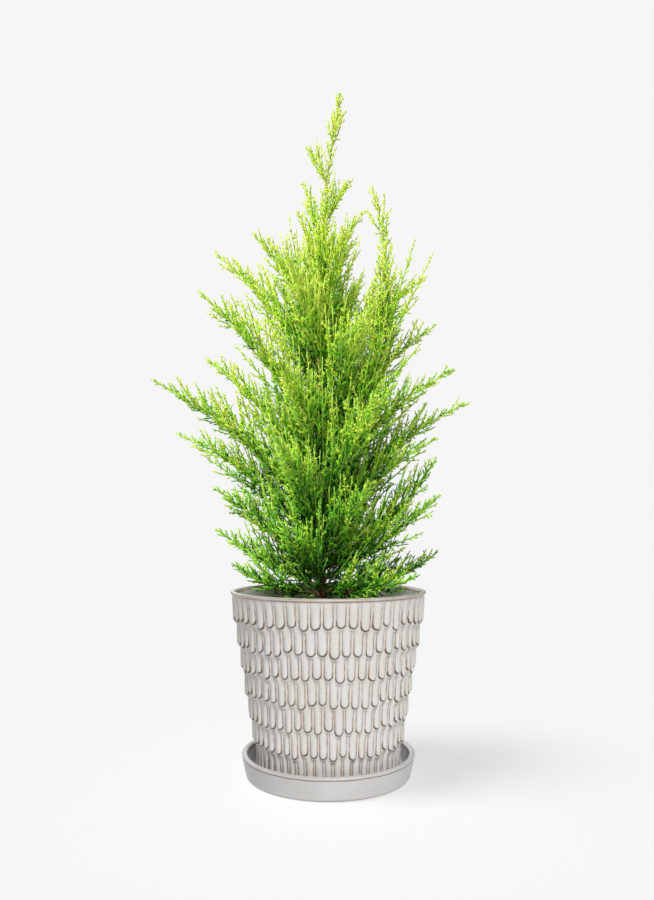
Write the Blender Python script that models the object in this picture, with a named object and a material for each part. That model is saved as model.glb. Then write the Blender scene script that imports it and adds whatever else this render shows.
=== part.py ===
"""A young golden Monterey cypress in a scalloped stoneware pot, standing on its saucer.

Sizes are in metres, +Z is up, and the origin is the centre of the saucer's flat underside.
The plant is looked at along +Y, with +X to the right. Heights of the plant are counted
from the pot's rim, because that is where they can be read off.
"""

import math
from collections import namedtuple

import bmesh
import bpy
import numpy as np

# Fit between pieces that touch
GAP = 0.0003

# Pot
RIM_RADIUS = 0.088
RIM_HEIGHT = 0.160
WALL = 0.005
LIP_HEIGHT = 0.0034
TIER_COUNT = 7
FLUTES = 52
FIRST_EDGE_DROP = 0.285 * RIM_RADIUS
TIER_PITCH = 0.235 * RIM_RADIUS
FIRST_EDGE_RADIUS = 0.971 * RIM_RADIUS
TIER_SHRINK = 0.0036
TIER_STEP = 0.0030
FLUTE_SWELL = 0.0006
SCALLOP_DEPTH = 0.0045
POT_FLOOR = 0.006
POT_FOOT_BEVEL = 0.0015
LIP_ROUND = LIP_HEIGHT / 3

# Saucer
SAUCER_RADIUS = 0.867 * RIM_RADIUS
SAUCER_HEIGHT = 0.0200
SAUCER_FOOT_RADIUS = 0.80 * RIM_RADIUS
SAUCER_FLOOR = 0.006
SAUCER_FLARE = 0.0036
SAUCER_FOOT_HEIGHT = 0.0034
SAUCER_ROUND = 0.0013
ROUND_STEPS = 48

# Soil
SOIL_DROP = 0.014
SOIL_MOUND = 0.003
SOIL_FLAT = 0.015
SOIL_SHOULDER = 0.55
SOIL_STEPS = 32

# Trunk: the knots are (sideways, away, height above the rim) of its slightly swaying line
TRUNK_BASE_RADIUS = 0.0034
TRUNK_TIP_RADIUS = 0.0006
FLARE_RADIUS = 0.0042
FLARE_HEIGHT = 0.007
TRUNK_SIDES = 10
TRUNK_TIP_HEIGHT = 0.418
TRUNK_SWAY = (
    (-0.0070, 0.0020, GAP - SOIL_DROP),
    (-0.0040, -0.0010, 0.107),
    (-0.0060, 0.0010, 0.251),
    (-0.0022, 0.0000, 0.370),
    (0.0030, 0.0000, TRUNK_TIP_HEIGHT),
)
TRUNK_TAPER = 1.3
FLARE_RINGS = (0, 0.025, 0.06, 0.11, 0.18)
TRUNK_RINGS = 15

# Boughs and plume stems
STEM_BASE_RADIUS = 0.0016
STEM_TIP_RADIUS = 0.0006
STEM_FADE = 0.8
LEADER_GIRTH = 0.55
BOUGH_SIDES = 6
BOUGH_RINGS = 6
PLUME_SIDES = 3

# Tiers of plumes from the pot upwards. Each has a plume to the left and to the right, whose
# reach and tip height are given, and one to the front and one to the back, worked out from them.
# start is where its plumes leave the trunk, arch how far they rise before they lean out
# (negative: lean out first), bough the share of their length that is a bare limb.
Tier = namedtuple("Tier", "name start arch bough left right")
TIERS = (
    Tier("skirt", -0.004, -0.18, 0.0, (0.088, 0.024), (0.100, 0.034)),
    Tier("low", 0.002, -0.06, 0.32, (0.103, 0.055), (0.102, 0.086)),
    Tier("hip", 0.012, 0.04, 0.30, (0.106, 0.093), (0.101, 0.121)),
    Tier("waist", 0.028, 0.17, 0.0, (0.142, 0.143), (0.102, 0.139)),
    Tier("arm", 0.052, 0.14, 0.0, (0.165, 0.193), (0.131, 0.172)),
    Tier("shoulder", 0.092, 0.13, 0.0, (0.115, 0.215), (0.118, 0.203)),
    Tier("neck", 0.132, 0.10, 0.0, (0.123, 0.278), (0.102, 0.246)),
    Tier("crest", 0.180, 0.12, 0.0, (0.108, 0.316), (0.091, 0.292)),
    Tier("crown", 0.225, 0.14, 0.0, (0.073, 0.336), (0.058, 0.345)),
)
# Plumes off the pattern, which take the place of a tier's plume: two long limbs, a second leader
# beside the first, and a low one that leans out over the rim. Direction is in degrees, and reach
# is how far sideways the tip is seen to stand.
Limb = namedtuple("Limb", "start arch bough direction reach height")
LIMBS = {
    "shoulder_left": Limb(0.078, 0.14, 0.34, 177, 0.115, 0.214),
    "hip_right": Limb(0.017, -0.14, 0.45, 0, 0.100, 0.121),
    "crown_right": Limb(0.105, -0.26, 0.30, -27, 0.041, 0.382),
    "skirt_front": Limb(-0.002, -0.10, 0.0, -40, 0.083, 0.013),
}
SIDE_SWING = math.radians(14)
FRONT_SWING = math.radians(28)
FRONT_SHARE = 0.78
FRONT_DROP = 0.012
START_STEP = 0.004
START_SPREAD = 0.002
# The side tips were read off a picture taken from this far away and this high above the ground
VIEW_DISTANCE = 0.686
VIEW_HEIGHT = 0.218

# Shoots of the leader: start height, direction in degrees, reach, tip height
LEADER_SHOOTS = (
    ("leader_low_right", 0.296, -8, 0.036, 0.358),
    ("leader_low_left", 0.298, 172, 0.031, 0.357),
    ("leader_low_front", 0.288, 262, 0.030, 0.352),
    ("leader_low_back", 0.312, 140, 0.032, 0.386),
    ("leader_high_right", 0.345, 20, 0.024, 0.388),
    ("leader_high_left", 0.384, 185, 0.021, 0.421),
)
LEADER_TIP = (0.0116, 0.0, 0.476)
LEADER_ARCH = 0.06
LEADER_TIP_ARCH = 0.0

# Foliage: a plume is a stem with tufts of barbs along it, and sprays that leave it in a spiral.
# A spray is a slim core with rows of barbs, three to a row, which point to its tip.
PLUME_WIDTH = 0.070
LEADER_WIDTH = 0.026
LEADER_TIP_WIDTH = 0.016
WIDTH_FADE = 1.25
UNDER_SHORTER = 0.35
TUFT_SPACING = 0.020
TUFT_SHARE = 0.18
TUFT_FADE = 0.5
SPRAY_SPACING = 0.0275
SPRAY_ANGLE = math.radians(34)
ANGLE_SPREAD = 0.10
LENGTH_SPREAD = 0.15
SPRAY_LIFT = 0.40
SPRAY_TURN = math.radians(137.5)
SPRAY_START = 0.55
SPRAY_REST = 0.30
SPRAY_ROOM = 0.90
END_LENGTH = 0.006
SPRAY_ROW = 0.019
BARB_REACH = 0.0056
BARB_FADE = 0.25
BARB_START = 0.75
BARB_REST = 0.45
BARB_BACK = 0.16
CORE_RADIUS = 0.0010
CORE_SHARE = 0.3
ROOT_RADIUS = 0.0004
SHORTENINGS = (1.0, 0.82, 0.66, 0.52, 0.40, 0.30)
SHORTEST_SPRAY = 0.009
SPACE_MARGIN = 0.0002
LIMB_CLEARANCE = 0.0005
POT_CLEARANCE = 0.001
FOOT_SEARCH = 0.5
FOOT_STEP = 0.0005
LINE_POINTS = 25
SEED = 7

UP = np.array((0.0, 0.0, 1.0))


def clear_scene():
    for thing in list(bpy.data.objects):
        bpy.data.objects.remove(thing, do_unlink=True)


def material(name, colour, roughness):
    made = bpy.data.materials.new(name)
    made.use_nodes = True
    shader = made.node_tree.nodes["Principled BSDF"]
    shader.inputs["Base Color"].default_value = (*colour, 1.0)
    shader.inputs["Roughness"].default_value = roughness
    shader.inputs["Metallic"].default_value = 0.0
    return made


def object_of(name, sheet, finish=None, parent=None):
    """An object from a finished bmesh, with its faces turned outwards."""
    bmesh.ops.recalc_face_normals(sheet, faces=sheet.faces)
    mesh = bpy.data.meshes.new(name)
    sheet.to_mesh(mesh)
    sheet.free()
    thing = bpy.data.objects.new(name, mesh)
    bpy.context.scene.collection.objects.link(thing)
    if finish is not None:
        mesh.materials.append(finish)
    thing.parent = parent
    return thing


def shade_round(thing, angle=math.radians(40)):
    thing.data.shade_smooth()
    thing.data.set_sharp_from_angle(angle=angle)


def loft(rings, tip=None):
    """A closed bmesh: each ring of points is joined to the next, the first is closed by a flat
    face, and the last by a flat face or by being drawn to the tip."""
    sheet = bmesh.new()
    loops = [[sheet.verts.new(point) for point in ring] for ring in rings]
    sheet.faces.new(loops[0])
    for lower, upper in zip(loops, loops[1:]):
        for side in range(len(lower)):
            after = (side + 1) % len(lower)
            sheet.faces.new((lower[side], lower[after], upper[after], upper[side]))
    if tip is None:
        sheet.faces.new(loops[-1])
    else:
        point = sheet.verts.new(tip)
        last = loops[-1]
        for side in range(len(last)):
            sheet.faces.new((last[side], last[(side + 1) % len(last)], point))
    return sheet


def cut_to_triangles(sheet):
    """The twisted faces of barbed cores are cut to triangles, so that a union meets flat faces."""
    bmesh.ops.triangulate(sheet, faces=sheet.faces)
    return sheet


def turned(profile, steps):
    """A closed bmesh spun about Z from a profile of (radius, height) that starts and ends on Z."""
    sheet = bmesh.new()
    points = [sheet.verts.new((radius, 0.0, height)) for radius, height in profile]
    edges = [sheet.edges.new(pair) for pair in zip(points, points[1:])]
    bmesh.ops.spin(
        sheet,
        geom=points + edges,
        cent=(0, 0, 0),
        axis=(0, 0, 1),
        angle=2 * math.pi,
        steps=steps,
        use_duplicate=False,
    )
    bmesh.ops.remove_doubles(sheet, verts=sheet.verts, dist=1e-6)
    return sheet


def tier_edge_height(tier):
    return RIM_HEIGHT - FIRST_EDGE_DROP - tier * TIER_PITCH


def tier_edge_radius(tier):
    return FIRST_EDGE_RADIUS - tier * TIER_SHRINK


def inner_radius(height):
    """The radius of the pot's smooth inside at a height."""
    low = tier_edge_radius(TIER_COUNT - 1) - WALL
    high = RIM_RADIUS - WALL
    return low + (high - low) * (height - SAUCER_FLOOR) / (RIM_HEIGHT - SAUCER_FLOOR)


def pot_rings():
    """Rings of the pot from its underside, up the outside, over the rim and down the inside.
    Two columns make a flute: a swollen tongue and the groove beside it. Each tier hangs over
    the next lower one, its tongues end lower than its grooves, and the tiers are staggered."""
    columns = np.arange(2 * FLUTES)
    angle = columns * math.pi / FLUTES

    def ring(radius, height):
        radius = np.broadcast_to(radius, angle.shape)
        height = np.broadcast_to(height, angle.shape)
        return np.stack([radius * np.cos(angle), radius * np.sin(angle), height], axis=1)

    def tongue(tier):
        return np.where((columns + tier) % 2 == 0, 1.0, -1.0)

    def edge_height(tier):
        return tier_edge_height(tier) - tongue(tier) * SCALLOP_DEPTH / 2

    base = SAUCER_FLOOR + GAP
    lowest = TIER_COUNT - 1
    foot_radius = tier_edge_radius(lowest) - TIER_STEP
    rings = [ring(foot_radius - POT_FOOT_BEVEL, base), ring(foot_radius, edge_height(lowest))]
    for tier in range(lowest, -1, -1):
        rings.append(ring(tier_edge_radius(tier) + tongue(tier) * FLUTE_SWELL, edge_height(tier)))
        top_radius = tier_edge_radius(tier) + TIER_SHRINK - TIER_STEP
        if tier > 0:
            rings.append(ring(top_radius + tongue(tier) * FLUTE_SWELL / 2, edge_height(tier - 1)))
    neck = RIM_HEIGHT - LIP_HEIGHT
    rings.append(ring(FIRST_EDGE_RADIUS, neck - LIP_ROUND))
    rings.append(ring(RIM_RADIUS, neck))
    rings.append(ring(RIM_RADIUS, RIM_HEIGHT - LIP_ROUND))
    rings.append(ring(RIM_RADIUS - WALL / 3, RIM_HEIGHT))
    rings.append(ring(RIM_RADIUS - WALL, RIM_HEIGHT - LIP_ROUND))
    floor = base + POT_FLOOR
    rings.append(ring(inner_radius(floor), floor))
    return rings


def build_pot(parent):
    glaze = material("pot_glaze", (0.66, 0.64, 0.61), 0.35)
    pot = object_of("pot", loft(pot_rings()), glaze, parent)
    shade_round(pot)


def build_saucer(parent):
    """A shallow dish with a rounded foot, a wall that leans out and a rounded lip."""
    wall_foot = SAUCER_RADIUS - SAUCER_FLARE
    profile = (
        (0.0, 0.0),
        (SAUCER_FOOT_RADIUS - SAUCER_ROUND, 0.0),
        (SAUCER_FOOT_RADIUS + SAUCER_ROUND, SAUCER_ROUND),
        (wall_foot, SAUCER_FOOT_HEIGHT),
        (SAUCER_RADIUS, SAUCER_HEIGHT - SAUCER_ROUND),
        (SAUCER_RADIUS - SAUCER_ROUND, SAUCER_HEIGHT),
        (SAUCER_RADIUS - WALL + SAUCER_ROUND, SAUCER_HEIGHT),
        (SAUCER_RADIUS - WALL, SAUCER_HEIGHT - SAUCER_ROUND),
        (wall_foot - WALL, SAUCER_FLOOR),
        (0.0, SAUCER_FLOOR),
    )
    glaze = material("saucer_glaze", (0.62, 0.61, 0.58), 0.3)
    saucer = object_of("saucer", turned(profile, ROUND_STEPS), glaze, parent)
    shade_round(saucer)


def soil_top():
    return RIM_HEIGHT - SOIL_DROP


def build_soil(parent):
    """The potting mix fills the pot and is a little mounded round the flat patch of the trunk."""
    floor = SAUCER_FLOOR + POT_FLOOR + 2 * GAP
    # a round of straight sides cuts the corners, so the plug stays inside the pot by more than GAP
    wall_top = inner_radius(soil_top() - SOIL_MOUND) - 2 * GAP
    profile = (
        (0.0, floor),
        (inner_radius(floor) - 2 * GAP, floor),
        (wall_top, soil_top() - SOIL_MOUND),
        (SOIL_SHOULDER * wall_top, soil_top() - SOIL_MOUND / 3),
        (SOIL_FLAT, soil_top()),
        (0.0, soil_top()),
    )
    mix = material("potting_mix", (0.045, 0.030, 0.020), 0.95)
    soil = object_of("soil", turned(profile, SOIL_STEPS), mix, parent)
    shade_round(soil)


def smooth_path(knots, where):
    """Points on the Catmull-Rom curve through the knots, at parameters from 0 to len(knots) - 1."""
    knots = np.asarray(knots, float)
    ends = 2 * knots[[0, -1]] - knots[[1, -2]]
    knots = np.vstack([ends[:1], knots, ends[1:]])
    piece = np.minimum(where.astype(int), len(knots) - 4)
    t = (where - piece)[:, None]
    a, b, c, d = (knots[piece + step] for step in range(4))
    bend = (2 * a - 5 * b + 4 * c - d) * t**2 + (3 * b - a - 3 * c + d) * t**3
    return b + ((c - a) * t + bend) / 2


def trunk_path(where):
    """Points of the trunk's centre line, from the soil at 0 to its tip at the last knot."""
    return smooth_path(np.array(TRUNK_SWAY) + UP * RIM_HEIGHT, where)


def trunk_line(count=60):
    return trunk_path(np.linspace(0, len(TRUNK_SWAY) - 1, count))


def trunk_radius(height):
    """Taper from the soil to the tip, with the root flare added near the soil."""
    foot = soil_top() + GAP
    rise = np.clip((height - foot) / (RIM_HEIGHT + TRUNK_TIP_HEIGHT - foot), 0, 1)
    taper = TRUNK_TIP_RADIUS + (TRUNK_BASE_RADIUS - TRUNK_TIP_RADIUS) * (1 - rise) ** TRUNK_TAPER
    return taper + FLARE_RADIUS * np.exp(-(height - foot) / FLARE_HEIGHT)


def trunk_point(height):
    line = trunk_line()
    return np.array([np.interp(height, line[:, 2], line[:, axis]) for axis in range(3)])


def unit(vector):
    return vector / np.linalg.norm(vector, axis=-1, keepdims=True)


def tube_rings(path, radius, sides, turn=0.0):
    """Rings of points square to the path. Each ring is turned about the path by its own angle."""
    along = unit(np.gradient(path, axis=0))
    guide = np.eye(3)[np.argmin(np.abs(along.mean(axis=0)))]
    across = unit(guide - along * (along @ guide)[:, None])
    other = np.cross(along, across)
    radius = np.broadcast_to(radius, len(path))[:, None, None]
    turn = np.broadcast_to(turn, len(path))[:, None]
    angle = (turn + np.arange(sides) * 2 * math.pi / sides)[:, :, None]
    return path[:, None] + radius * (across[:, None] * np.cos(angle) + other[:, None] * np.sin(angle))


def build_trunk(parent):
    """Its foot has close rings for the flare, and is cut level where it meets the soil."""
    above = np.linspace(2 * FLARE_RINGS[-1], len(TRUNK_SWAY) - 1, TRUNK_RINGS)
    path = trunk_path(np.concatenate([FLARE_RINGS, above]))
    rings = tube_rings(path, trunk_radius(path[:, 2]), TRUNK_SIDES)
    rings[0, :, 2] = path[0, 2]
    bark = material("trunk_bark", (0.19, 0.10, 0.06), 0.85)
    trunk = object_of("trunk", loft(rings), bark, parent)
    shade_round(trunk)


Plume = namedtuple("Plume", "name start tip arch bough width girth")


def out_to(direction, reach, height):
    return np.array((reach * math.cos(direction), reach * math.sin(direction), height))


def as_seen(tip):
    """A side tip that leans towards the viewer is drawn in towards the view point, and one that
    leans away is let out, so that both are seen at the places that were read off."""
    nearness = (VIEW_DISTANCE + tip[1]) / VIEW_DISTANCE
    height = VIEW_HEIGHT + (tip[2] - VIEW_HEIGHT) * nearness
    return np.array((tip[0] * nearness, tip[1], height))


def plumes():
    """Every plume of the crown, tier by tier. Left and right plumes swing a little to the front
    and the back in turn, and front and back plumes to the left and the right. Then come the
    limbs, which take the place of a tier's plume, and the shoots of the leader."""
    chance = np.random.default_rng(SEED)
    made = {}

    def add(name, start, tip, arch, bough, width=PLUME_WIDTH, girth=1.0):
        made[name] = Plume(name, trunk_point(start), tip, arch, bough, width, girth)

    for index, tier in enumerate(TIERS):
        swing = -1 if index % 2 else 1
        left_reach, left_height = tier.left
        right_reach, right_height = tier.right
        reach = FRONT_SHARE * (left_reach + right_reach) / 2
        height = (left_height + right_height) / 2
        sides = (
            ("left", math.pi + swing * SIDE_SWING, left_reach / math.cos(SIDE_SWING), left_height),
            ("right", swing * SIDE_SWING, right_reach / math.cos(SIDE_SWING), right_height),
            ("front", -math.pi / 2 + swing * FRONT_SWING, reach, height - FRONT_DROP),
            ("back", math.pi / 2 + swing * FRONT_SWING, reach, height + FRONT_DROP),
        )
        for step, (side, direction, out, top) in enumerate(sides):
            start = RIM_HEIGHT + tier.start + START_STEP * step + START_SPREAD * chance.random()
            tip = out_to(direction, out, RIM_HEIGHT + top)
            if side in ("left", "right"):
                tip = as_seen(tip)
            add(f"{tier.name}_{side}", start, tip, tier.arch, tier.bough)
    for name, limb in LIMBS.items():
        direction = math.radians(limb.direction)
        tip = out_to(direction, limb.reach / abs(math.cos(direction)), RIM_HEIGHT + limb.height)
        add(name, RIM_HEIGHT + limb.start, as_seen(tip), limb.arch, limb.bough)
    for name, start, direction, reach, height in LEADER_SHOOTS:
        tip = as_seen(out_to(math.radians(direction), reach, RIM_HEIGHT + height))
        add(name, RIM_HEIGHT + start, tip, LEADER_ARCH, 0.0, LEADER_WIDTH, LEADER_GIRTH)
    return list(made.values())


def plume_line(plume, share):
    """Points at shares of the way along the plume's line: one bend from the trunk to its tip."""
    chord = plume.tip - plume.start
    outward = unit(np.array((chord[0], chord[1], 0.0)))
    inward_and_up = unit(UP * (chord @ outward) - outward * chord[2])
    length = np.linalg.norm(chord)
    bend = (plume.start + plume.tip) / 2 + inward_and_up * plume.arch * length
    t = np.atleast_1d(share)[:, None]
    return plume.start * (1 - t) ** 2 + bend * 2 * t * (1 - t) + plume.tip * t**2


def stem_radius(plume, share):
    taper = (STEM_BASE_RADIUS - STEM_TIP_RADIUS) * (1 - share) ** STEM_FADE
    return plume.girth * (STEM_TIP_RADIUS + taper)


def first_share(plume):
    """How far along its line a limb starts, for its end to be GAP clear of the trunk's bark."""
    sides = BOUGH_SIDES if plume.bough > 0 else PLUME_SIDES
    trunk = trunk_line()
    for share in np.arange(0.0, FOOT_SEARCH, FOOT_STEP):
        path = plume_line(plume, np.linspace(share, FOOT_SEARCH, BOUGH_RINGS))
        corners = tube_rings(path, stem_radius(plume, share), sides)[0]
        end = np.vstack([corners, (corners + np.roll(corners, 1, axis=0)) / 2, path[:1]])
        clear = distance_to_line(end, trunk) - trunk_radius(end[:, 2])
        if clear.min() > GAP:
            return share
    raise ValueError(f"{plume.name} does not leave the trunk")


def distance_to_line(points, line):
    """Distance of each point from a line of straight pieces."""
    start, step = line[:-1], np.diff(line, axis=0)
    offset = points[:, None] - start[None]
    share = np.clip((offset * step).sum(-1) / (step * step).sum(-1), 0, 1)
    return np.linalg.norm(offset - share[..., None] * step, axis=-1).min(axis=1)


def barbed_profile(rows, foot, reach, core):
    """Places and radii along a barbed core, and the turn of each ring. It swells towards each
    row of barbs and drops back behind it, and each row stands between the barbs of the last."""
    places, radius, turn = [0.0], [foot], [0.0]
    for row in range(rows):
        barb = (row + BARB_START) / (rows + BARB_REST)
        places += [barb, barb + BARB_BACK / rows]
        radius += [reach[row], core[row]]
        turn += [row * math.pi / 3] * 2
    return np.array(places), np.array(radius), np.array(turn)


def spray_line(root, heading, length, share):
    """A spray leaves straight and then bends up a little."""
    share = np.asarray(share)[:, None]
    return root + heading * length * share + UP * SPRAY_LIFT * length * share**2


def spray_sheet(root, heading, length):
    rows = 2 if length > SPRAY_ROW else 1
    fade = 1 - BARB_FADE * np.arange(rows)
    places, radius, turn = barbed_profile(rows, ROOT_RADIUS, BARB_REACH * fade, CORE_RADIUS * fade)
    rings = tube_rings(spray_line(root, heading, length, places), radius, PLUME_SIDES, turn)
    return cut_to_triangles(loft(rings, spray_line(root, heading, length, [1.0])[0]))


def inside_pot(points, radius):
    """True where a round of that radius at each point clears the soil and the pot's rim."""
    out = np.hypot(points[:, 0], points[:, 1])
    foot = points[:, 2] - radius
    low = foot < RIM_HEIGHT + POT_CLEARANCE
    within = out + radius < RIM_RADIUS - WALL - POT_CLEARANCE
    return ~low | (within & (foot > soil_top() + POT_CLEARANCE))


def stays_home(points, radius, own, others, limbs):
    """True if a spray keeps to its plume's own space: every point of it is nearer to its own
    stem than to any other, and clear of the limbs, the soil and the pot."""
    home = distance_to_line(points, own)
    for line in others:
        if np.any(distance_to_line(points, line) - home < 2 * (radius + SPACE_MARGIN)):
            return False
    for line, thickness in limbs:
        if np.any(distance_to_line(points, line) < radius + thickness + LIMB_CLEARANCE):
            return False
    return bool(np.all(inside_pot(points, radius)))


def line_length(line):
    return np.linalg.norm(np.diff(line, axis=0), axis=1).sum()


def jitter(chance, spread):
    """A factor between 1 - spread and 1 + spread."""
    return 1 + spread * (2 * chance.random() - 1)


def grow_sprays(plume, foot, chance, own, others, limbs):
    """Sprays in a spiral up the stem, longest near its foot and shorter on its underside. One
    that would leave the plume's space is shortened, and left out where even the short one would."""
    stem = line_length(own)
    count = max(2, round(stem / SPRAY_SPACING))
    turn = 2 * math.pi * chance.random()
    grown = []
    for step in range(count):
        turn += SPRAY_TURN
        rise = (step + SPRAY_START) / (count + SPRAY_REST)
        root, ahead = plume_line(plume, foot + np.array((rise, (1 + rise) / 2)) * (1 - foot))
        along = unit(ahead - root)
        across = unit(np.cross(along, UP))
        away = across * math.cos(turn) + np.cross(along, across) * math.sin(turn)
        lean = SPRAY_ANGLE * jitter(chance, ANGLE_SPREAD)
        heading = along * math.cos(lean) + away * math.sin(lean)
        under = 1 - UNDER_SHORTER * max(0.0, -away[2])
        full = plume.width * under * (1 - rise) ** WIDTH_FADE * jitter(chance, LENGTH_SPREAD)
        full = min(full, SPRAY_ROOM * stem * (1 - rise)) + END_LENGTH
        for shortening in SHORTENINGS:
            reach = full * shortening
            if reach < SHORTEST_SPRAY:
                break
            places = np.linspace(0.3, 1, 9)
            points = spray_line(root, heading, reach, places)
            if stays_home(points, BARB_REACH * (1 - 0.6 * places), own, others, limbs):
                grown.append((root, heading, reach))
                break
    return grown


def room_round(points, others, limbs):
    """How far each point of a stem may swell before it leaves its own space."""
    room = np.min([distance_to_line(points, line) for line in others], axis=0) / 2
    for line, thickness in limbs:
        room = np.minimum(room, distance_to_line(points, line) - thickness - LIMB_CLEARANCE)
    rim_clear = np.where(
        points[:, 2] > RIM_HEIGHT,
        points[:, 2] - RIM_HEIGHT,
        RIM_RADIUS - WALL - np.hypot(points[:, 0], points[:, 1]),
    )
    over_pot = np.hypot(points[:, 0], points[:, 1]) > RIM_RADIUS - WALL - BARB_REACH
    room = np.where(over_pot, np.minimum(room, rim_clear), room)
    return np.minimum(room, points[:, 2] - soil_top()) - SPACE_MARGIN


def stem_sheet(plume, foot, own, others, limbs):
    """The stem with a tuft of barbs at each step, as wide as the plume's space lets it be."""
    rows = max(2, round(line_length(own) / TUFT_SPACING))
    rise = (np.arange(rows) + BARB_START) / (rows + BARB_REST)
    wanted = TUFT_SHARE * plume.width * (1 - rise) ** TUFT_FADE
    room = room_round(plume_line(plume, foot + rise * (1 - foot)), others, limbs)
    stem = stem_radius(plume, foot + rise * (1 - foot))
    reach = np.maximum(np.minimum(wanted, room), stem)
    places, radius, turn = barbed_profile(
        rows, stem_radius(plume, foot), reach, np.maximum(stem, reach * CORE_SHARE)
    )
    rings = tube_rings(plume_line(plume, foot + places * (1 - foot)), radius, PLUME_SIDES, turn)
    return cut_to_triangles(loft(rings, plume.tip))


def fuse(thing, sheets):
    """One Boolean union joins the sprays to their stem, and the helpers are then removed."""
    helpers = bpy.data.collections.new("helpers")
    bpy.context.scene.collection.children.link(helpers)
    for number, sheet in enumerate(sheets):
        helper = object_of(f"helper_{number}", sheet)
        bpy.context.scene.collection.objects.unlink(helper)
        helpers.objects.link(helper)
    union = thing.modifiers.new("sprays", "BOOLEAN")
    union.operation = "UNION"
    union.operand_type = "COLLECTION"
    union.collection = helpers
    union.solver = "EXACT"
    graph = bpy.context.evaluated_depsgraph_get()
    fused = bpy.data.meshes.new_from_object(thing.evaluated_get(graph))
    fused.name = thing.name
    thing.modifiers.clear()
    thing.data = fused
    for helper in list(helpers.objects):
        bpy.data.objects.remove(helper, do_unlink=True)
    bpy.data.collections.remove(helpers)


def foliage_colour(height):
    """Deep green by the pot, lime yellow at the leader."""
    low, high = np.array((0.11, 0.24, 0.045)), np.array((0.46, 0.60, 0.10))
    return tuple(low + (high - low) * np.clip((height - RIM_HEIGHT) / LEADER_TIP[2], 0, 1))


def build_bough(plume, parent):
    share = np.linspace(first_share(plume), plume.bough, BOUGH_RINGS)
    rings = tube_rings(plume_line(plume, share), stem_radius(plume, share), BOUGH_SIDES)
    bark = material(f"{plume.name}_bark", (0.24, 0.12, 0.06), 0.8)
    bough = object_of(f"bough_{plume.name}", loft(rings), bark, parent)
    shade_round(bough)


def plume_foot(plume):
    """Where a plume's own stem starts: just past the end of its bough, or just off the trunk."""
    if plume.bough == 0:
        return first_share(plume)
    return plume.bough + GAP / line_length(plume_line(plume, np.linspace(0, 1, LINE_POINTS)))


def leader_plume():
    """The leader's green end grows straight on from the trunk's tip."""
    line = trunk_line()
    tip = np.array(LEADER_TIP) + UP * RIM_HEIGHT
    start = line[-1] + unit(line[-1] - line[-2]) * GAP
    return Plume("leader_tip", start, tip, LEADER_TIP_ARCH, 0.0, LEADER_TIP_WIDTH, LEADER_GIRTH)


def build_crown(parent):
    crown = plumes()
    leader = leader_plume()
    feet = {plume.name: plume_foot(plume) for plume in crown}
    feet[leader.name] = 0.0
    crown.append(leader)
    lines = {p.name: plume_line(p, np.linspace(feet[p.name], 1, LINE_POINTS)) for p in crown}
    limbs = [(trunk_line(), TRUNK_BASE_RADIUS)]
    for plume in crown:
        if plume.bough > 0:
            build_bough(plume, parent)
            bare = plume_line(plume, np.linspace(0, plume.bough, LINE_POINTS))
            limbs.append((bare, STEM_BASE_RADIUS))
    for number, plume in enumerate(crown):
        chance = np.random.default_rng([SEED, number])
        own = lines[plume.name]
        others = [line for name, line in lines.items() if name != plume.name]
        foot = feet[plume.name]
        grown = grow_sprays(plume, foot, chance, own, others, limbs)
        green = material(f"{plume.name}_leaves", foliage_colour(plume.tip[2]), 0.6)
        stem = stem_sheet(plume, foot, own, others, limbs)
        mass = object_of(f"foliage_{plume.name}", stem, green, parent)
        fuse(mass, [spray_sheet(*spray) for spray in grown])


def main():
    clear_scene()
    plant = bpy.data.objects.new("potted_cypress", None)
    bpy.context.scene.collection.objects.link(plant)
    build_saucer(plant)
    build_pot(plant)
    build_soil(plant)
    build_trunk(plant)
    build_crown(plant)


main()
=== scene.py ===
# %% [markdown]
# # A young golden cypress in a scalloped pot
#
# The plant is a cone of feathery plumes that leave a thin trunk low and lean out as they rise.
# The pot is stoneware with seven tiers of carved tongues, each tier hanging over the next like
# the scales of a fir cone, under a pale glaze that breaks brown on every edge.
#
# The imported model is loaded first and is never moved. It says where everything is, so each
# piece made below is built straight into its final place, in metres, with +Z up.

# %% Open the frame and note its size
import math
from collections import namedtuple

import bpy
import numpy as np
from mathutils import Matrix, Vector


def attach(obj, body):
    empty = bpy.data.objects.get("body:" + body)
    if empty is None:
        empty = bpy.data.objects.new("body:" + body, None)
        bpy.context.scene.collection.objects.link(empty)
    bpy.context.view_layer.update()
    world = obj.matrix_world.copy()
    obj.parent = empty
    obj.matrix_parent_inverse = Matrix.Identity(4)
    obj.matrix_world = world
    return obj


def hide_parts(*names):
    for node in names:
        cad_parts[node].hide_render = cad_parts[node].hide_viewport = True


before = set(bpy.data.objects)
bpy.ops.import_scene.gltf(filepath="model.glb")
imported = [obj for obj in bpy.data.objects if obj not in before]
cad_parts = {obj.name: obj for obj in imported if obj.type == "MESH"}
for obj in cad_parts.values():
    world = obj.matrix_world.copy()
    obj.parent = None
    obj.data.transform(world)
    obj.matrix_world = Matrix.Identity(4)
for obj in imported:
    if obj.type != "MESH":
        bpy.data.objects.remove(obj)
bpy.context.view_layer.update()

UP = np.array((0.0, 0.0, 1.0))

# %% [markdown]
# Every piece is worked out with numpy as whole arrays of points and corners, and goes into a
# mesh in one step. A closed skin has a volume with a sign: if it comes out negative, the faces
# look inwards, and all of them are turned round together. That is quicker and surer than
# asking Blender to guess, because a folded surface such as a pot can fool a guess.


# %% Arrays into meshes
def unit(vector):
    """The vector divided by its length, along the last axis."""
    return vector / np.linalg.norm(vector, axis=-1, keepdims=True)


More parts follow.
